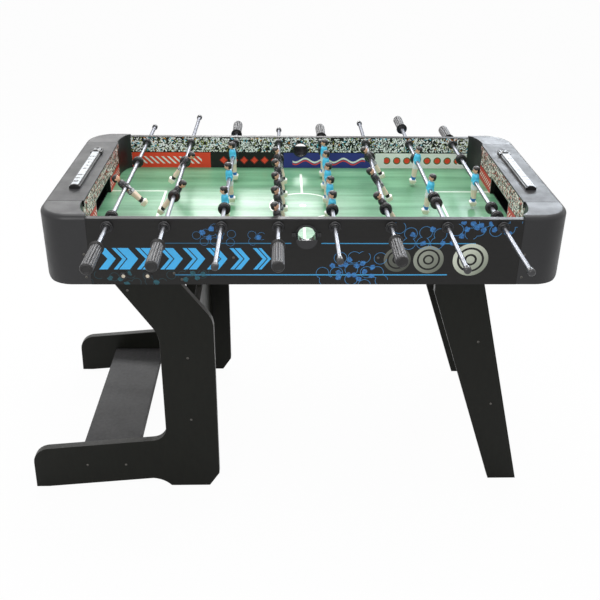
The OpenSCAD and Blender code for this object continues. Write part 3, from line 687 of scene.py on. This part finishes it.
def patterned_cloth(name, ground, patch, share):
    """Cloth with small irregular patches of a second colour."""
    n = Nodes(name)
    blot = n.above(n.noise(n.coords((1, 1, 0.8)), 4.2, 2, 0.4), 1 - share)
    tone = n.ramp(n.noise(n.coords(), 5, 3), 0.3, 0.7, 0.85, 1.0)
    return n.finish(n.mix(n.times(blot, tone), ground, patch), 0.44, 0.5, 0.02)


black_plastic = surface("black_plastic_moulded", rgb(24, 24, 25), 0.34, grain=0.5, depth=0.012)
bearing_plastic = surface("bearing_plastic_shiny", rgb(40, 40, 42), 0.16, 0.12, 9, depth=0.006, spread=0.08)
cap_plastic = surface("cap_plastic_grained", rgb(29, 29, 31), 0.42, 0.08, 60, grain=0.45, depth=0.03)
trim_plastic = surface("trim_plastic_grained", rgb(22, 22, 23), 0.42, 0.1, 50, stretch=(6, 1, 1), grain=0.5,
                       depth=0.02, Specular_IOR_Level=0.36)
# The grip's ridges and grooves are lighter and darker copies of its black plastic: painted highlight on the
# ridges, painted shade in the grooves
lit_ridge_plastic = surface("grip_ridges_satin", rgb(66, 65, 67), 0.46, 0.14, 12, spread=0.1)
shaded_groove_plastic = surface("grip_grooves_matt", rgb(10, 10, 11), 0.5, 0.14, 6)
grip_plastic = surface("grip_end_black", rgb(24, 23, 23), 0.4, 0.14, 12, spread=0.1)
tip_plastic = surface("rod_cap_plastic", rgb(58, 58, 60), 0.28, 0.12, 8)
rubber = surface("bumper_rubber_matt", rgb(28, 28, 29), 0.27, 0.2, 8, grain=0.3, depth=0.02)
strip_white = surface("scorer_strip_white", rgb(196, 200, 204), 0.5, 0.04, 20, grain=0.5, depth=0.006,
                      Specular_IOR_Level=0.25)
chrome = surface("rod_chrome", rgb(170, 172, 177), 0.34, 0.05, 30, stretch=(1, 8, 1), grain=40, depth=0.02,
                 smudge=60, spread=0.06, Metallic=1.0, Specular_Tint=rgb(150, 150, 155))
zinc = surface("screw_zinc", rgb(96, 94, 90), 0.42, 0.16, 3, grain=0.25, depth=0.006, smudge=4, Metallic=0.8)
cream_zinc = surface("bolt_cream_plated", rgb(216, 206, 186), 0.34, 0.14, 4, grain=0.25, depth=0.006,
                     smudge=5, Metallic=0.3)
dark_steel = surface("hinge_plate_steel", rgb(84, 85, 88), 0.4, 0.2, 12, grain=0.5, Metallic=1.0)
leg_board = board("leg_board_black", rgb(17, 18, 13), rgb(66, 66, 64), 1)
foot_board = board("foot_board_grey", rgb(64, 64, 65), rgb(52, 52, 52), 2)
cross_board = board("cross_board_olive", rgb(26, 28, 21), rgb(36, 36, 32), 0)
end_board = board("end_panel_black", rgb(18, 18, 18), rgb(30, 30, 30), 0)
skin = surface("player_skin", rgb(232, 180, 150), 0.42, 0.06, 6, grain=0.3, depth=0.006,
               Subsurface_Weight=0.08, Subsurface_Scale=0.002)
leg_skin = surface("player_legs_cream", rgb(240, 220, 198), 0.42, 0.05, 6, grain=0.3, depth=0.006)
hair = surface("player_hair", rgb(24, 20, 19), 0.34, 0.25, 3, stretch=(1, 1, 4), grain=0.6, depth=0.05)
ink = surface("player_features", rgb(40, 26, 22), 0.35, 0.1, 2, grain=0.8, depth=0.02)
lips = surface("player_lips", rgb(176, 92, 80), 0.4, 0.08, 2, grain=0.8, depth=0.02)
foot_white = surface("player_foot_white", rgb(246, 246, 240), 0.4, 0.05, 5)
# The foot's lower part is a darker cream copy of its white top: painted shade
foot_shaded_cream = surface("player_foot_cream", rgb(238, 234, 210), 0.4, 0.05, 5)
# Shirt, shorts and socks of each team
KITS = {
    "dark": (patterned_cloth("player_shirt_black", rgb(30, 30, 34), rgb(112, 110, 118), 0.36),
             patterned_cloth("player_shorts_patterned", rgb(196, 196, 200), rgb(40, 40, 44), 0.5),
             surface("player_sock_black", rgb(30, 27, 27), 0.45, 0.1, 4, depth=0.02)),
    "cyan": (surface("player_shirt_cyan", rgb(84, 206, 246), 0.42, 0.08, 5, grain=0.5, depth=0.02),
             surface("player_shorts_white", rgb(232, 234, 236), 0.46, 0.05, 5, grain=0.5, depth=0.02),
             surface("player_sock_blue", rgb(44, 120, 200), 0.45, 0.08, 4, depth=0.02)),
}


# ---------- Cabinet ----------

def finish_cabinet():
    """Softened boards, rails and caps, and prints on the CAD boards, which keep their shape."""
    for corner in ("front_left", "front_right", "back_left", "back_right"):
        softened("corner_cap_" + corner, "cabinet", cap_plastic, "cap_plastic", 0.6)
    for node, material, slot, width in (
            ("top_trims", trim_plastic, "grey_plastic", 0.6),
            ("end_rails", rail_material(), "grey_plastic", 0.8),
            ("end_panels", end_board, "black_laminate", 0.5),
            ("ball_entry_cups", bearing_plastic, "black_plastic", 0.6),
            ("goal_pockets", black_plastic, "black_plastic", 0.8)):
        softened(node, "cabinet", material, slot, width)
    sides = side_panel_material()
    for node, material in (("side_panel_front", sides), ("side_panel_back", sides),
                           ("playfield", field_material()), ("goal_walls", goal_wall_material())):
        frame["nodes"][node].material_slots[0].material = material


def rod_bearings():
    """Bushes: outside a raised ring and a neck with a hollow between, then a barrel, and a lip inside."""
    bm = bmesh.new()
    for solid in islands("rod_bearings"):
        low, high = extent(solid)
        out = -1 if low.y < MIDDLE.y else 1
        # Reach of the lip into the table and of the neck out of it, from the panel's outer face
        panel_y = (front_box[0] if out < 0 else back_box[1]).y
        near, far = (high.y, low.y) if out < 0 else (low.y, high.y)
        inner, outer = abs(near - panel_y) / MM, abs(far - panel_y) / MM
        r, neck = (high.x - low.x) / 2 / MM, BORE + 2.2
        profile = rounded([
            (BORE, -inner, 0), (r - 4, -inner, 0.6), (r - 2, 2 - inner, 0.8), (r - 2, -PANEL_T, 0),
            (r - 6, -PANEL_T, 0), (r - 6, 0, 0), (r, 0, 0), (r, 3.2, 1.8), (r - 2.4, 5, 0.8),
            (r - 3.6, 3.8, 0.6), (neck + 2, 3.6, 1), (neck, 6, 1.4), (neck - 0.2, outer, 0.8),
            (BORE + 0.7, outer, 0.3), (BORE, outer - 0.6, 0)])
        lathe(bm, profile, facing(centred(low, high, panel_y), (0, out, 0)), 56, closed=True)
    piece("rod_bearing_set", bm, [bearing_plastic], "cabinet", "black_plastic", ["rod_bearings"])


def pan_head(bm, place, r, height):
    """A domed screw head with a cross recess."""
    rings, segments = 15, 48
    turned = random.uniform(0, pi / 2)

    def arm(along, across):
        return smooth(0.2, 0.1, abs(across) / r) * smooth(0.62, 0.5, abs(along) / r)

    net = []
    for i in range(rings + 1):
        q = r * i / rings
        ring = []
        for a in circle(segments if i else 1):
            x, y = q * cos(a), q * sin(a)
            p, s = x * cos(turned) - y * sin(turned), x * sin(turned) + y * cos(turned)
            dome = height * (1 - 0.72 * (q / r) ** 2.6)
            sunk = 0.7 * height * max(arm(p, s), arm(s, p))
            ring.append(bm.verts.new(place @ (Vector((x, y, dome - sunk)) * MM)))
        net.append(ring)
    rim = [(r * cos(a), r * sin(a), 0) for a in circle(segments)]
    net.append([bm.verts.new(place @ (Vector(p) * MM)) for p in rim])
    for low, high in zip(net, net[1:]):
        bridge(bm, low, high)


def screw_set(name, node, body):
    """Pan heads in place of the flat heads of a CAD node of screws."""
    bm = bmesh.new()
    for solid in islands(node):
        low, high = extent(solid)
        out = -1 if low.y < MIDDLE.y else 1
        place = facing(centred(low, high, (high if out < 0 else low).y), (0, out, 0))
        pan_head(bm, place, (high.z - low.z) / 2 / MM, (high.y - low.y) / MM)
    piece(name, bm, [zinc], body, "zinc_steel", [node], crease=60)


def hinge_bolts():
    """Pale domed heads over dark washers on the CAD bolts of the left hinges."""
    bm = bmesh.new()
    points = [v.co for v in frame["nodes"]["leg_hinges"].data.vertices]
    lowest, highest = extent(points)
    for out, tip, face in ((-1, lowest.y, front_box[0].y), (1, highest.y, back_box[1].y)):
        # The outermost points are those of the two heads on this side
        heads = [p for p in points if abs(p.y - tip) < 0.1 * MM]
        middle = (min(p.x for p in heads) + max(p.x for p in heads)) / 2
        reach = abs(tip - face) / MM
        for side in (-1, 1):
            low, high = extent([p for p in heads if (p.x - middle) * side > 0])
            place = facing(centred(low, high, face), (0, out, 0))
            washer = rounded([(0, 0, 0), (9.6, 0, 0), (9.6, 1.6, 0.8), (0, 2, 0)])
            dome = rounded([(7.7, 1.8, 0), (7.7, reach, 1), (5.4, reach + 1.2, 1), (4.4, reach + 1, 0)])
            core = rounded([(4.4, reach + 0.8, 0), (4.2, reach + 1.6, 0.8), (1.8, reach + 2, 0.4),
                            (1.5, reach + 1.1, 0.3), (0, reach + 1, 0)])
            for profile, segments, index in ((washer, 56, 0), (dome, 56, 0), (core, 48, 1)):
                lathe(bm, profile, place, segments, index=index)
    piece("hinge_bolt_heads", bm, [black_plastic, cream_zinc], "cabinet", "zinc_steel")
    frame["nodes"]["leg_hinges"].material_slots[0].material = dark_steel


# ---------- Scorers ----------

def digit(text, size, thickness, bold):
    """A number as a thin mesh around its own middle."""
    curve = bpy.data.curves.new("digit_" + text, "FONT")
    curve.body = text
    curve.size = size * MM
    curve.extrude = thickness / 2 * MM
    curve.offset = bold * MM
    curve.align_x = curve.align_y = "CENTER"
    carrier = bpy.data.objects.new("digit_" + text, curve)
    mesh = bpy.data.meshes.new_from_object(carrier)
    bpy.data.objects.remove(carrier)
    return mesh


def scorers():
    """White strips with marks and the numbers 0 to 10 on the bars, and the sliders."""
    softened("scorer_bars", "cabinet", black_plastic, "black_plastic", 0.6)
    for side in ("left", "right"):
        # The slider's roof is thin over the corners of its slot, so its edges stay nearly sharp
        softened("scorer_slider_" + side, "slider_" + side, black_plastic, "black_plastic", 0.02)
    # Height of a bar's ridge under its strip, half width and thickness of the strip, and the step from a
    # number to the next. Nothing rises more than the 0.3 mm that a slider leaves over the ridge.
    ridge, half, thick, step = 9, 8.5, 0.15, 23
    for side, out, solid in zip(("left", "right"), (-1, 1), islands("scorer_bars")):
        low, high = extent(solid)
        foot = Vector(((low.x + high.x) / 2, MIDDLE.y, low.z))
        turn = Matrix.Rotation(-out * pi / 2, 4, "Z")
        place = Matrix.Translation(foot) @ turn @ moved(0, 0, ridge)
        reach = (high.y - low.y) / 2 / MM - 6
        bm = bmesh.new()
        slab(bm, (-reach, -half, 0), (reach, half, thick), 0.06, place, steps=1)
        for k in range(11):
            u = (5 - k) * step * -out
            slab(bm, (u - 1, -8.4, 0.05), (u + 1, -5.4, 0.22), 0.03, place, 1, 1)
            mesh = digit(str(k), 16, 0.14, 0.8)
            mesh.transform(place @ moved(u, 1.5, thick))
            before = len(bm.faces)
            bm.from_mesh(mesh)
            bm.faces.ensure_lookup_table()
            for f in bm.faces[before:]:
                f.material_index = 1
        paints = [strip_white, black_plastic]
        piece("scorer_strip_" + side, bm, paints, "cabinet", "black_plastic", crease=30)


# ---------- Legs ----------

def legs():
    """The leg boards with their arrises eased, and their screws."""
    for side in ("left", "right"):
        for end in ("front", "rear"):
            softened(f"{side}_leg_{end}", side + "_leg", leg_board, "black_laminate", 1.3)
        screw_set(side + "_leg_screw_heads", side + "_leg_screws", side + "_leg")
    for side, part, material, slot in (("left", "foot", foot_board, "grey_laminate"),
                                       ("left", "cross", cross_board, "grey_laminate"),
                                       ("right", "cross", cross_board, "black_laminate")):
        softened(f"{side}_leg_{part}_board", side + "_leg", material, slot, 1.0)


# ---------- Rods ----------

def rod_tube(i, axis):
    """The chrome tube of a rod, open at its ends."""
    low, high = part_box(f"rod_{i}_tube")
    r, wall, length = (high.z - low.z) / 2 / MM, 1.2, (high.y - low.y) / MM
    profile = rounded([(r - wall, 0, 0), (r, 0, 0.4), (r, length, 0.4), (r - wall, length, 0)])
    bm = bmesh.new()
    lathe(bm, profile, facing((axis.x, low.y, axis.z), (0, 1, 0)), 56, closed=True)
    piece(f"rod_{i}_chrome_tube", bm, [chrome], f"rod_{i}", "chrome_tube", [f"rod_{i}_tube"])


# Materials of a rod's grip and end cap: the ridges take a lighter copy of the grip's black, painted
# highlight, and the grooves a darker one, painted shade
END, LIT_RIDGE, SHADED_GROOVE, TIP = range(4)


def grip(bm, place, length, r, guard_r):
    """A fluted grip from its guard ring at the place to its flat end."""
    flutes, first, last = 12, 10, length - 6
    profile = rounded([(BORE, 0, 0), (8, 0, 0.6), (9.4, 1, 0.4), (guard_r - 1.6, 1, 0.8), (guard_r, 2.5, 0.9),
                       (guard_r - 1.6, 4, 0.8), (r - 3, 5, 1), (r - 1.4, first - 1, 1.5)])
    # The grip grows a little thicker towards its end
    steps, growth = 24, 1.4
    for k in range(steps + 1):
        profile.append((r - growth + growth * (k / steps) ** 0.7, first + (last - first) * k / steps))
    profile += rounded([(r - 0.1, last + 1, 0), (r - 0.9, length - 2, 1.5), (r - 3.4, length - 0.1, 1.2),
                        (r - 5.6, length, 0.6), (r - 6.6, length - 1.2, 0.6), (0, length - 1.5, 0)])

    def groove(s, a):
        deep = smooth(first - 1, first + 4, s) * smooth(last + 5, last - 2, s)
        return deep * (0.5 + 0.5 * cos(flutes * a)) ** 3

    # Grooves take the darker copy, painted shade, and ridges the lighter one, painted highlight
    def paint(s, a):
        if s > last + 4 or s < first:
            return END
        return SHADED_GROOVE if groove(s, a) > 0.34 else LIT_RIDGE

    depth = 1.8
    lathe(bm, profile, place, flutes * 12, wave=lambda q, s, a: q - depth * groove(s, a), paint=paint)


def rod_handle(i, axis):
    """The grip on one end of the rod and the bare end's cap."""
    bm = bmesh.new()
    solids = [extent(s) for s in islands(f"rod_{i}_handle")]
    (cap_low, cap_high), (low, high) = sorted(solids, key=lambda e: e[1].y - e[0].y)
    out = 1 if low.y > axis.y else -1
    foot = (axis.x, (low if out > 0 else high).y, axis.z)
    grip(bm, facing(foot, (0, out, 0)), (high.y - low.y) / MM, 14, (high.x - low.x) / 2 / MM)
    r, length = (cap_high.z - cap_low.z) / 2 / MM, (cap_high.y - cap_low.y) / MM
    start = (axis.x, (cap_high if out > 0 else cap_low).y, axis.z)
    profile = rounded([(BORE, 0, 0), (r - 0.9, 0, 0.3), (r, 1.2, 0.6), (r, length - 2.4, 2),
                       (r - 3, length, 1.6), (0, length, 0)], 5)
    lathe(bm, profile, facing(start, (0, -out, 0)), 48, index=TIP)
    paints = [grip_plastic, lit_ridge_plastic, shaded_groove_plastic, tip_plastic]
    piece(f"rod_{i}_grip_and_cap", bm, paints, f"rod_{i}", "grip_plastic", [f"rod_{i}_handle"])


def bumpers(i, axis):
    """Two-lipped rubber rings with a waist between the lips."""
    bm = bmesh.new()
    for solid in islands(f"rod_{i}_bumpers"):
        low, high = extent(solid)
        r, length = (high.z - low.z) / 2 / MM, (high.y - low.y) / MM
        lip = length * 0.4
        half = [(BORE, 0, 0), (r - 3.6, 0, 0.5), (r - 3.2, 0.8, 0.4), (r - 0.6, 1, 1), (r, lip * 0.6, 1),
                (r - 0.6, lip, 1), (r - 3.2, lip + 0.7, 0.6)]
        profile = rounded(half + [(q, length - s, fillet) for q, s, fillet in reversed(half)])
        lathe(bm, profile, facing((axis.x, low.y, axis.z), (0, 1, 0)), 56, closed=True)
    piece(f"rod_{i}_rubber_rings", bm, [rubber], f"rod_{i}_carrier", "bumper_rubber", [f"rod_{i}_bumpers"])


# ---------- Players ----------

# Materials of a player
SHIRT, SHORTS, SOCK, SKIN, LEG, FOOT_TOP, FOOT_SHADED_SIDE, HAIR, FEATURE, LIPS = range(10)


def form(index, power, *rows):
    """Sections in one material and roundness, from rows (height, x, y, half depth, half width)."""
    return [(*row, power, index) for row in rows]


def at_side(s, sections):
    """Sections moved to one side of the body, s being -1 or 1."""
    return [(z, x, s * y, *rest) for z, x, y, *rest in sections]


def head(bm, place):
    """A calm doll's head: face towards +X, ears, and hair as a cap over the top and back."""
    skull = form(SKIN, 2.1, (22.2, 0.8, 0, 2.8, 2.6), (23.4, 1.3, 0, 5.0, 4.2), (25.6, 1.0, 0, 6.9, 6.0),
                 (28.4, 0.6, 0, 8.1, 7.3), (31.5, 0.3, 0, 8.7, 7.9), (34.5, 0.1, 0, 8.6, 7.9),
                 (37.4, 0, 0, 7.8, 7.2), (39.6, 0, 0, 6.0, 5.5), (40.9, 0, 0, 3.2, 3.0))
    cap = form(HAIR, 2.1, (24.8, -4.0, 0, 4.2, 5.4), (27.0, -3.3, 0, 6.0, 7.5), (30.5, -2.3, 0, 7.5, 8.8),
               (34.0, -1.1, 0, 8.7, 9.2), (36.6, -0.3, 0, 9.4, 9.1), (39.0, -0.1, 0, 8.1, 7.8),
               (40.7, -0.1, 0, 5.7, 5.4), (41.5, -0.1, 0, 2.6, 2.4))
    ear = form(SKIN, 2, (28.4, 0.4, 7.6, 0.9, 0.6), (29.6, 0.2, 8.2, 1.8, 1.0), (32.2, 0.2, 8.6, 2.0, 1.0),
               (33.6, 0.2, 8.4, 1.1, 0.6))
    nose = form(SKIN, 2, (27.8, 8.1, 0, 1.0, 1.1), (28.5, 8.6, 0, 1.4, 1.4), (30.0, 8.5, 0, 1.1, 0.9),
                (32.0, 8.3, 0, 0.7, 0.6))
    loft(bm, skull, place, 24)
    loft(bm, cap, place, 28)
    for s in (-1, 1):
        loft(bm, at_side(s, ear), place, 12)
        eye = place @ facing(Vector((8.2, s * 3, 31.8)) * MM, (1, 0.36 * s, 0.02))
        lathe(bm, [(1.15, -0.3), (1.05, 0.15), (0.6, 0.4), (0, 0.46)], eye, 16, index=FEATURE)
        brow = place @ moved(8.3, s * 3, 34) @ Matrix.Rotation(0.36 * s, 4, "Z")
        slab(bm, (-0.5, -1.6, -0.25), (0.3, 1.6, 0.3), 0.18, brow, FEATURE, 1)
    loft(bm, nose, place, 12)
    slab(bm, (6.9, -1.8, 25.7), (8.15, 1.8, 26.3), 0.2, place, LIPS)


def player(bm, place):
    """One man around the rod: +X is his front, +Z his head."""
    trunk = (form(SHORTS, 2.5, (-23, 0, 0, 6.6, 8.4), (-21, 0, 0, 7.4, 9.2), (-14, 0, 0, 8.4, 9.5),
                  (-6, 0, 0, 9.0, 9.5), (-0.6, 0, 0, 9.1, 9.2))
             + form(SHIRT, 2.5, (-0.1, 0, 0, 9.4, 9.6), (6, 0, 0, 9.3, 9.7), (12, 0, 0, 9.0, 10.0),
                    (16.5, 0, 0, 8.4, 10.2), (19.3, 0, 0, 7.2, 9.2), (21, 0, 0, 5.8, 6.8),
                    (21.9, 0, 0, 4.7, 4.4))
             + form(SKIN, 2, (22.1, 0, 0, 4.1, 3.8), (25, 0, 0, 4.0, 3.6)))
    # Hand, forearm and sleeve, close to the side
    arm = (form(SKIN, 2, (-9.4, 1.4, 9.4, 1.5, 1.1))
           + form(SKIN, 2.2, (-7.6, 1.4, 9.6, 2.4, 1.7), (-4, 1.0, 9.6, 2.4, 1.7))
           + form(SKIN, 2, (-2.4, 0.8, 9.5, 2.0, 1.5), (3, 0.2, 9.4, 2.5, 1.9), (7.6, 0, 9.2, 2.7, 2.0))
           + form(SHIRT, 2, (8, 0, 9.1, 3.4, 2.3), (14, 0, 9.0, 3.8, 2.4), (18.4, 0, 8.4, 3.6, 2.4),
                  (20.6, 0, 7.0, 2.2, 1.7)))
    # Sock, knee, thigh and the leg of the shorts
    leg = (form(SOCK, 2.4, (-57, 0, 4.5, 5.0, 4.1), (-52, 0, 4.4, 5.0, 4.0), (-46.6, 0, 4.4, 5.8, 4.2),
                (-45.4, 0, 4.4, 6.1, 4.4))
           + form(LEG, 2.4, (-45, 0, 4.4, 5.7, 4.1), (-41, -0.3, 4.4, 6.2, 4.3), (-35, 0.2, 4.4, 6.0, 4.2),
                  (-32, 0.3, 4.4, 6.3, 4.3), (-25, 0.1, 4.6, 6.8, 4.6))
           + form(SHORTS, 2.4, (-21, 0, 4.7, 7.2, 4.7))
           + form(SHORTS, 2.6, (-20.6, 0, 4.8, 8.0, 5.0), (-14, 0, 4.7, 8.4, 5.0)))
    # Ring around the rod where it enters
    boss = [(BORE, 7), (8.2, 7), (8, 11), (7.5, 11.4), (BORE, 11.4)]
    # The lower sections of the foot take the darker cream, painted shade, and the upper ones the white
    foot = [(-65.9, 0, 0, 6.0, 8.8, 9, FOOT_SHADED_SIDE), (-65.2, 0, 0, 6.8, 9.2, 9, FOOT_SHADED_SIDE),
            (-57, 0, 0, 9.3, 9.2, 10, FOOT_SHADED_SIDE), (-55.6, 0, 0, 9.1, 9.0, 8, FOOT_TOP),
            (-54.4, 0, 0, 7.4, 8.6, 6, FOOT_TOP), (-53.2, 0, 0, 5.8, 8.4, 4, FOOT_TOP),
            (-52.7, 0, 0, 4.4, 7.4, 3, FOOT_TOP)]
    loft(bm, trunk, place, 32)
    for s in (-1, 1):
        loft(bm, at_side(s, arm), place, 18)
        loft(bm, at_side(s, leg), place, 20)
        lathe(bm, boss, place @ facing((0, 0, 0), (0, s, 0)), 28, index=SHIRT, closed=True)
    loft(bm, foot, place, 40)
    head(bm, place)


def players(i, axis):
    """The men of one rod, turned as the rod is. The dark team plays to +X."""
    bm = bmesh.new()
    team = TEAMS[f"rod_{i}_men"]
    heading = 0 if team == "dark" else pi
    for solid in islands(f"rod_{i}_men"):
        low, high = extent(solid)
        away = [(hypot(p.x - axis.x, p.z - axis.z), p) for p in solid]
        reach = max(a for a, _ in away)
        soles = [p for a, p in away if a > reach * 0.97]
        sole = sum(soles, Vector()) / len(soles) - axis
        turn = Matrix.Rotation(atan2(-sole.x, -sole.z), 4, "Y") @ Matrix.Rotation(heading, 4, "Z")
        player(bm, Matrix.Translation((axis.x, (low.y + high.y) / 2, axis.z)) @ turn)
    paints = [*KITS[team], skin, leg_skin, foot_white, foot_shaded_cream, hair, ink, lips]
    piece(f"rod_{i}_players", bm, paints, f"rod_{i}", "team_" + team, [f"rod_{i}_men"], crease=40)


# ---------- Stage ----------

def stage_material():
    """White to the camera with a soft shadow of the table, and paler than it is in reflections."""
    n = Nodes("studio_floor", Base_Color=rgb(235, 235, 235), Roughness=0.9, Specular_IOR_Level=0.1)
    # Shares of plain white that the camera and the reflections see in place of the lit floor
    to_camera, to_mirror = 0.97, 0.32
    camera_ray, mirror_ray = n.rays()
    share = n.either(n.times(camera_ray, to_camera), n.times(mirror_ray, to_mirror))
    mixed = n.add("MixShader", share, n.shader.outputs[0], n.add("Emission"))
    n.put(n.tree.nodes["Material Output"].inputs[0], mixed)
    return n.made


def stage():
    """A wide floor just under the feet."""
    bm = bmesh.new()
    bm.faces.new([bm.verts.new((x, y, -0.0005)) for x, y in ((-9, -9), (9, -9), (9, 9), (-9, 9))])
    shown_mesh("studio_floor", bm, [stage_material()])


def world():
    """Even pale light, and plain white where the camera, a reflection or glass shows it."""
    n = Nodes("studio", "worlds", "Background", Color=(1, 1, 1, 1))
    ambient = 0.38
    n.set(Strength=n.ramp(n.either(*n.rays()), 0, 1, ambient, 1))
    bpy.context.scene.world = n.made


def lamp(name, place, target, size, power, tint=(1, 1, 1)):
    """A soft rectangular lamp that faces its target."""
    data = bpy.data.lights.new(name, "AREA")
    data.shape = "RECTANGLE"
    data.size, data.size_y = size
    data.energy = power
    data.color = tint
    made = shown(name, data)
    made.location = place
    made.rotation_euler = (Vector(target) - Vector(place)).to_track_quat("-Z", "Y").to_euler()


def lamps():
    """A wide lamp overhead, windows behind that shine along the pitch, and a fill from the front."""
    lamp("overhead", (0.1, 0.3, 3.0), (0, 0, 0.7), (2.6, 1.8), 62)
    lamp("back_window", (-0.2, 2.7, 1.95), (0, 0, 0.7), (1.0, 0.6), 24)
    lamp("right_window", (1.6, 2.7, 1.9), (0.3, 0, 0.7), (1.0, 0.8), 28, (0.85, 0.92, 1.0))
    lamp("left_window", (-1.5, 2.7, 1.9), (-0.3, 0, 0.7), (1.0, 0.8), 9)
    lamp("front_fill", (-1.2, -3.2, 1.9), (0, 0, 0.5), (2.2, 1.8), 34)


def camera():
    """Looks down on the table from the front, a little turned and leaning, as a hand-held camera does."""
    pitch, yaw, roll = radians(25.38), radians(1.94), radians(0.90)
    ahead = Vector((sin(yaw) * cos(pitch), cos(yaw) * cos(pitch), -sin(pitch)))
    right = Vector((cos(yaw), -sin(yaw), 0))
    up = right.cross(ahead)
    leaning = Matrix((right * cos(roll) + up * sin(roll), up * cos(roll) - right * sin(roll), -ahead))
    data = bpy.data.cameras.new("view")
    data.sensor_width, data.lens = 36, 47.72
    data.shift_x, data.shift_y = -0.0071, -0.089
    made = shown("view", data)
    made.matrix_world = Matrix.Translation((-0.01122, -1.94801, 1.48749)) @ leaning.transposed().to_4x4()
    bpy.context.scene.camera = made


# ---------- The table ----------

random.seed(7)
finish_cabinet()
rod_bearings()
screw_set("cabinet_screw_heads", "cabinet_screws", "cabinet")
hinge_bolts()
scorers()
legs()
for i in RODS:
    axis = joint_place(f"rod_{i}_spin")
    rod_tube(i, axis)
    rod_handle(i, axis)
    bumpers(i, axis)
    players(i, axis)

stage()
world()
lamps()
camera()

bpy.context.scene.view_settings.view_transform = "Standard"
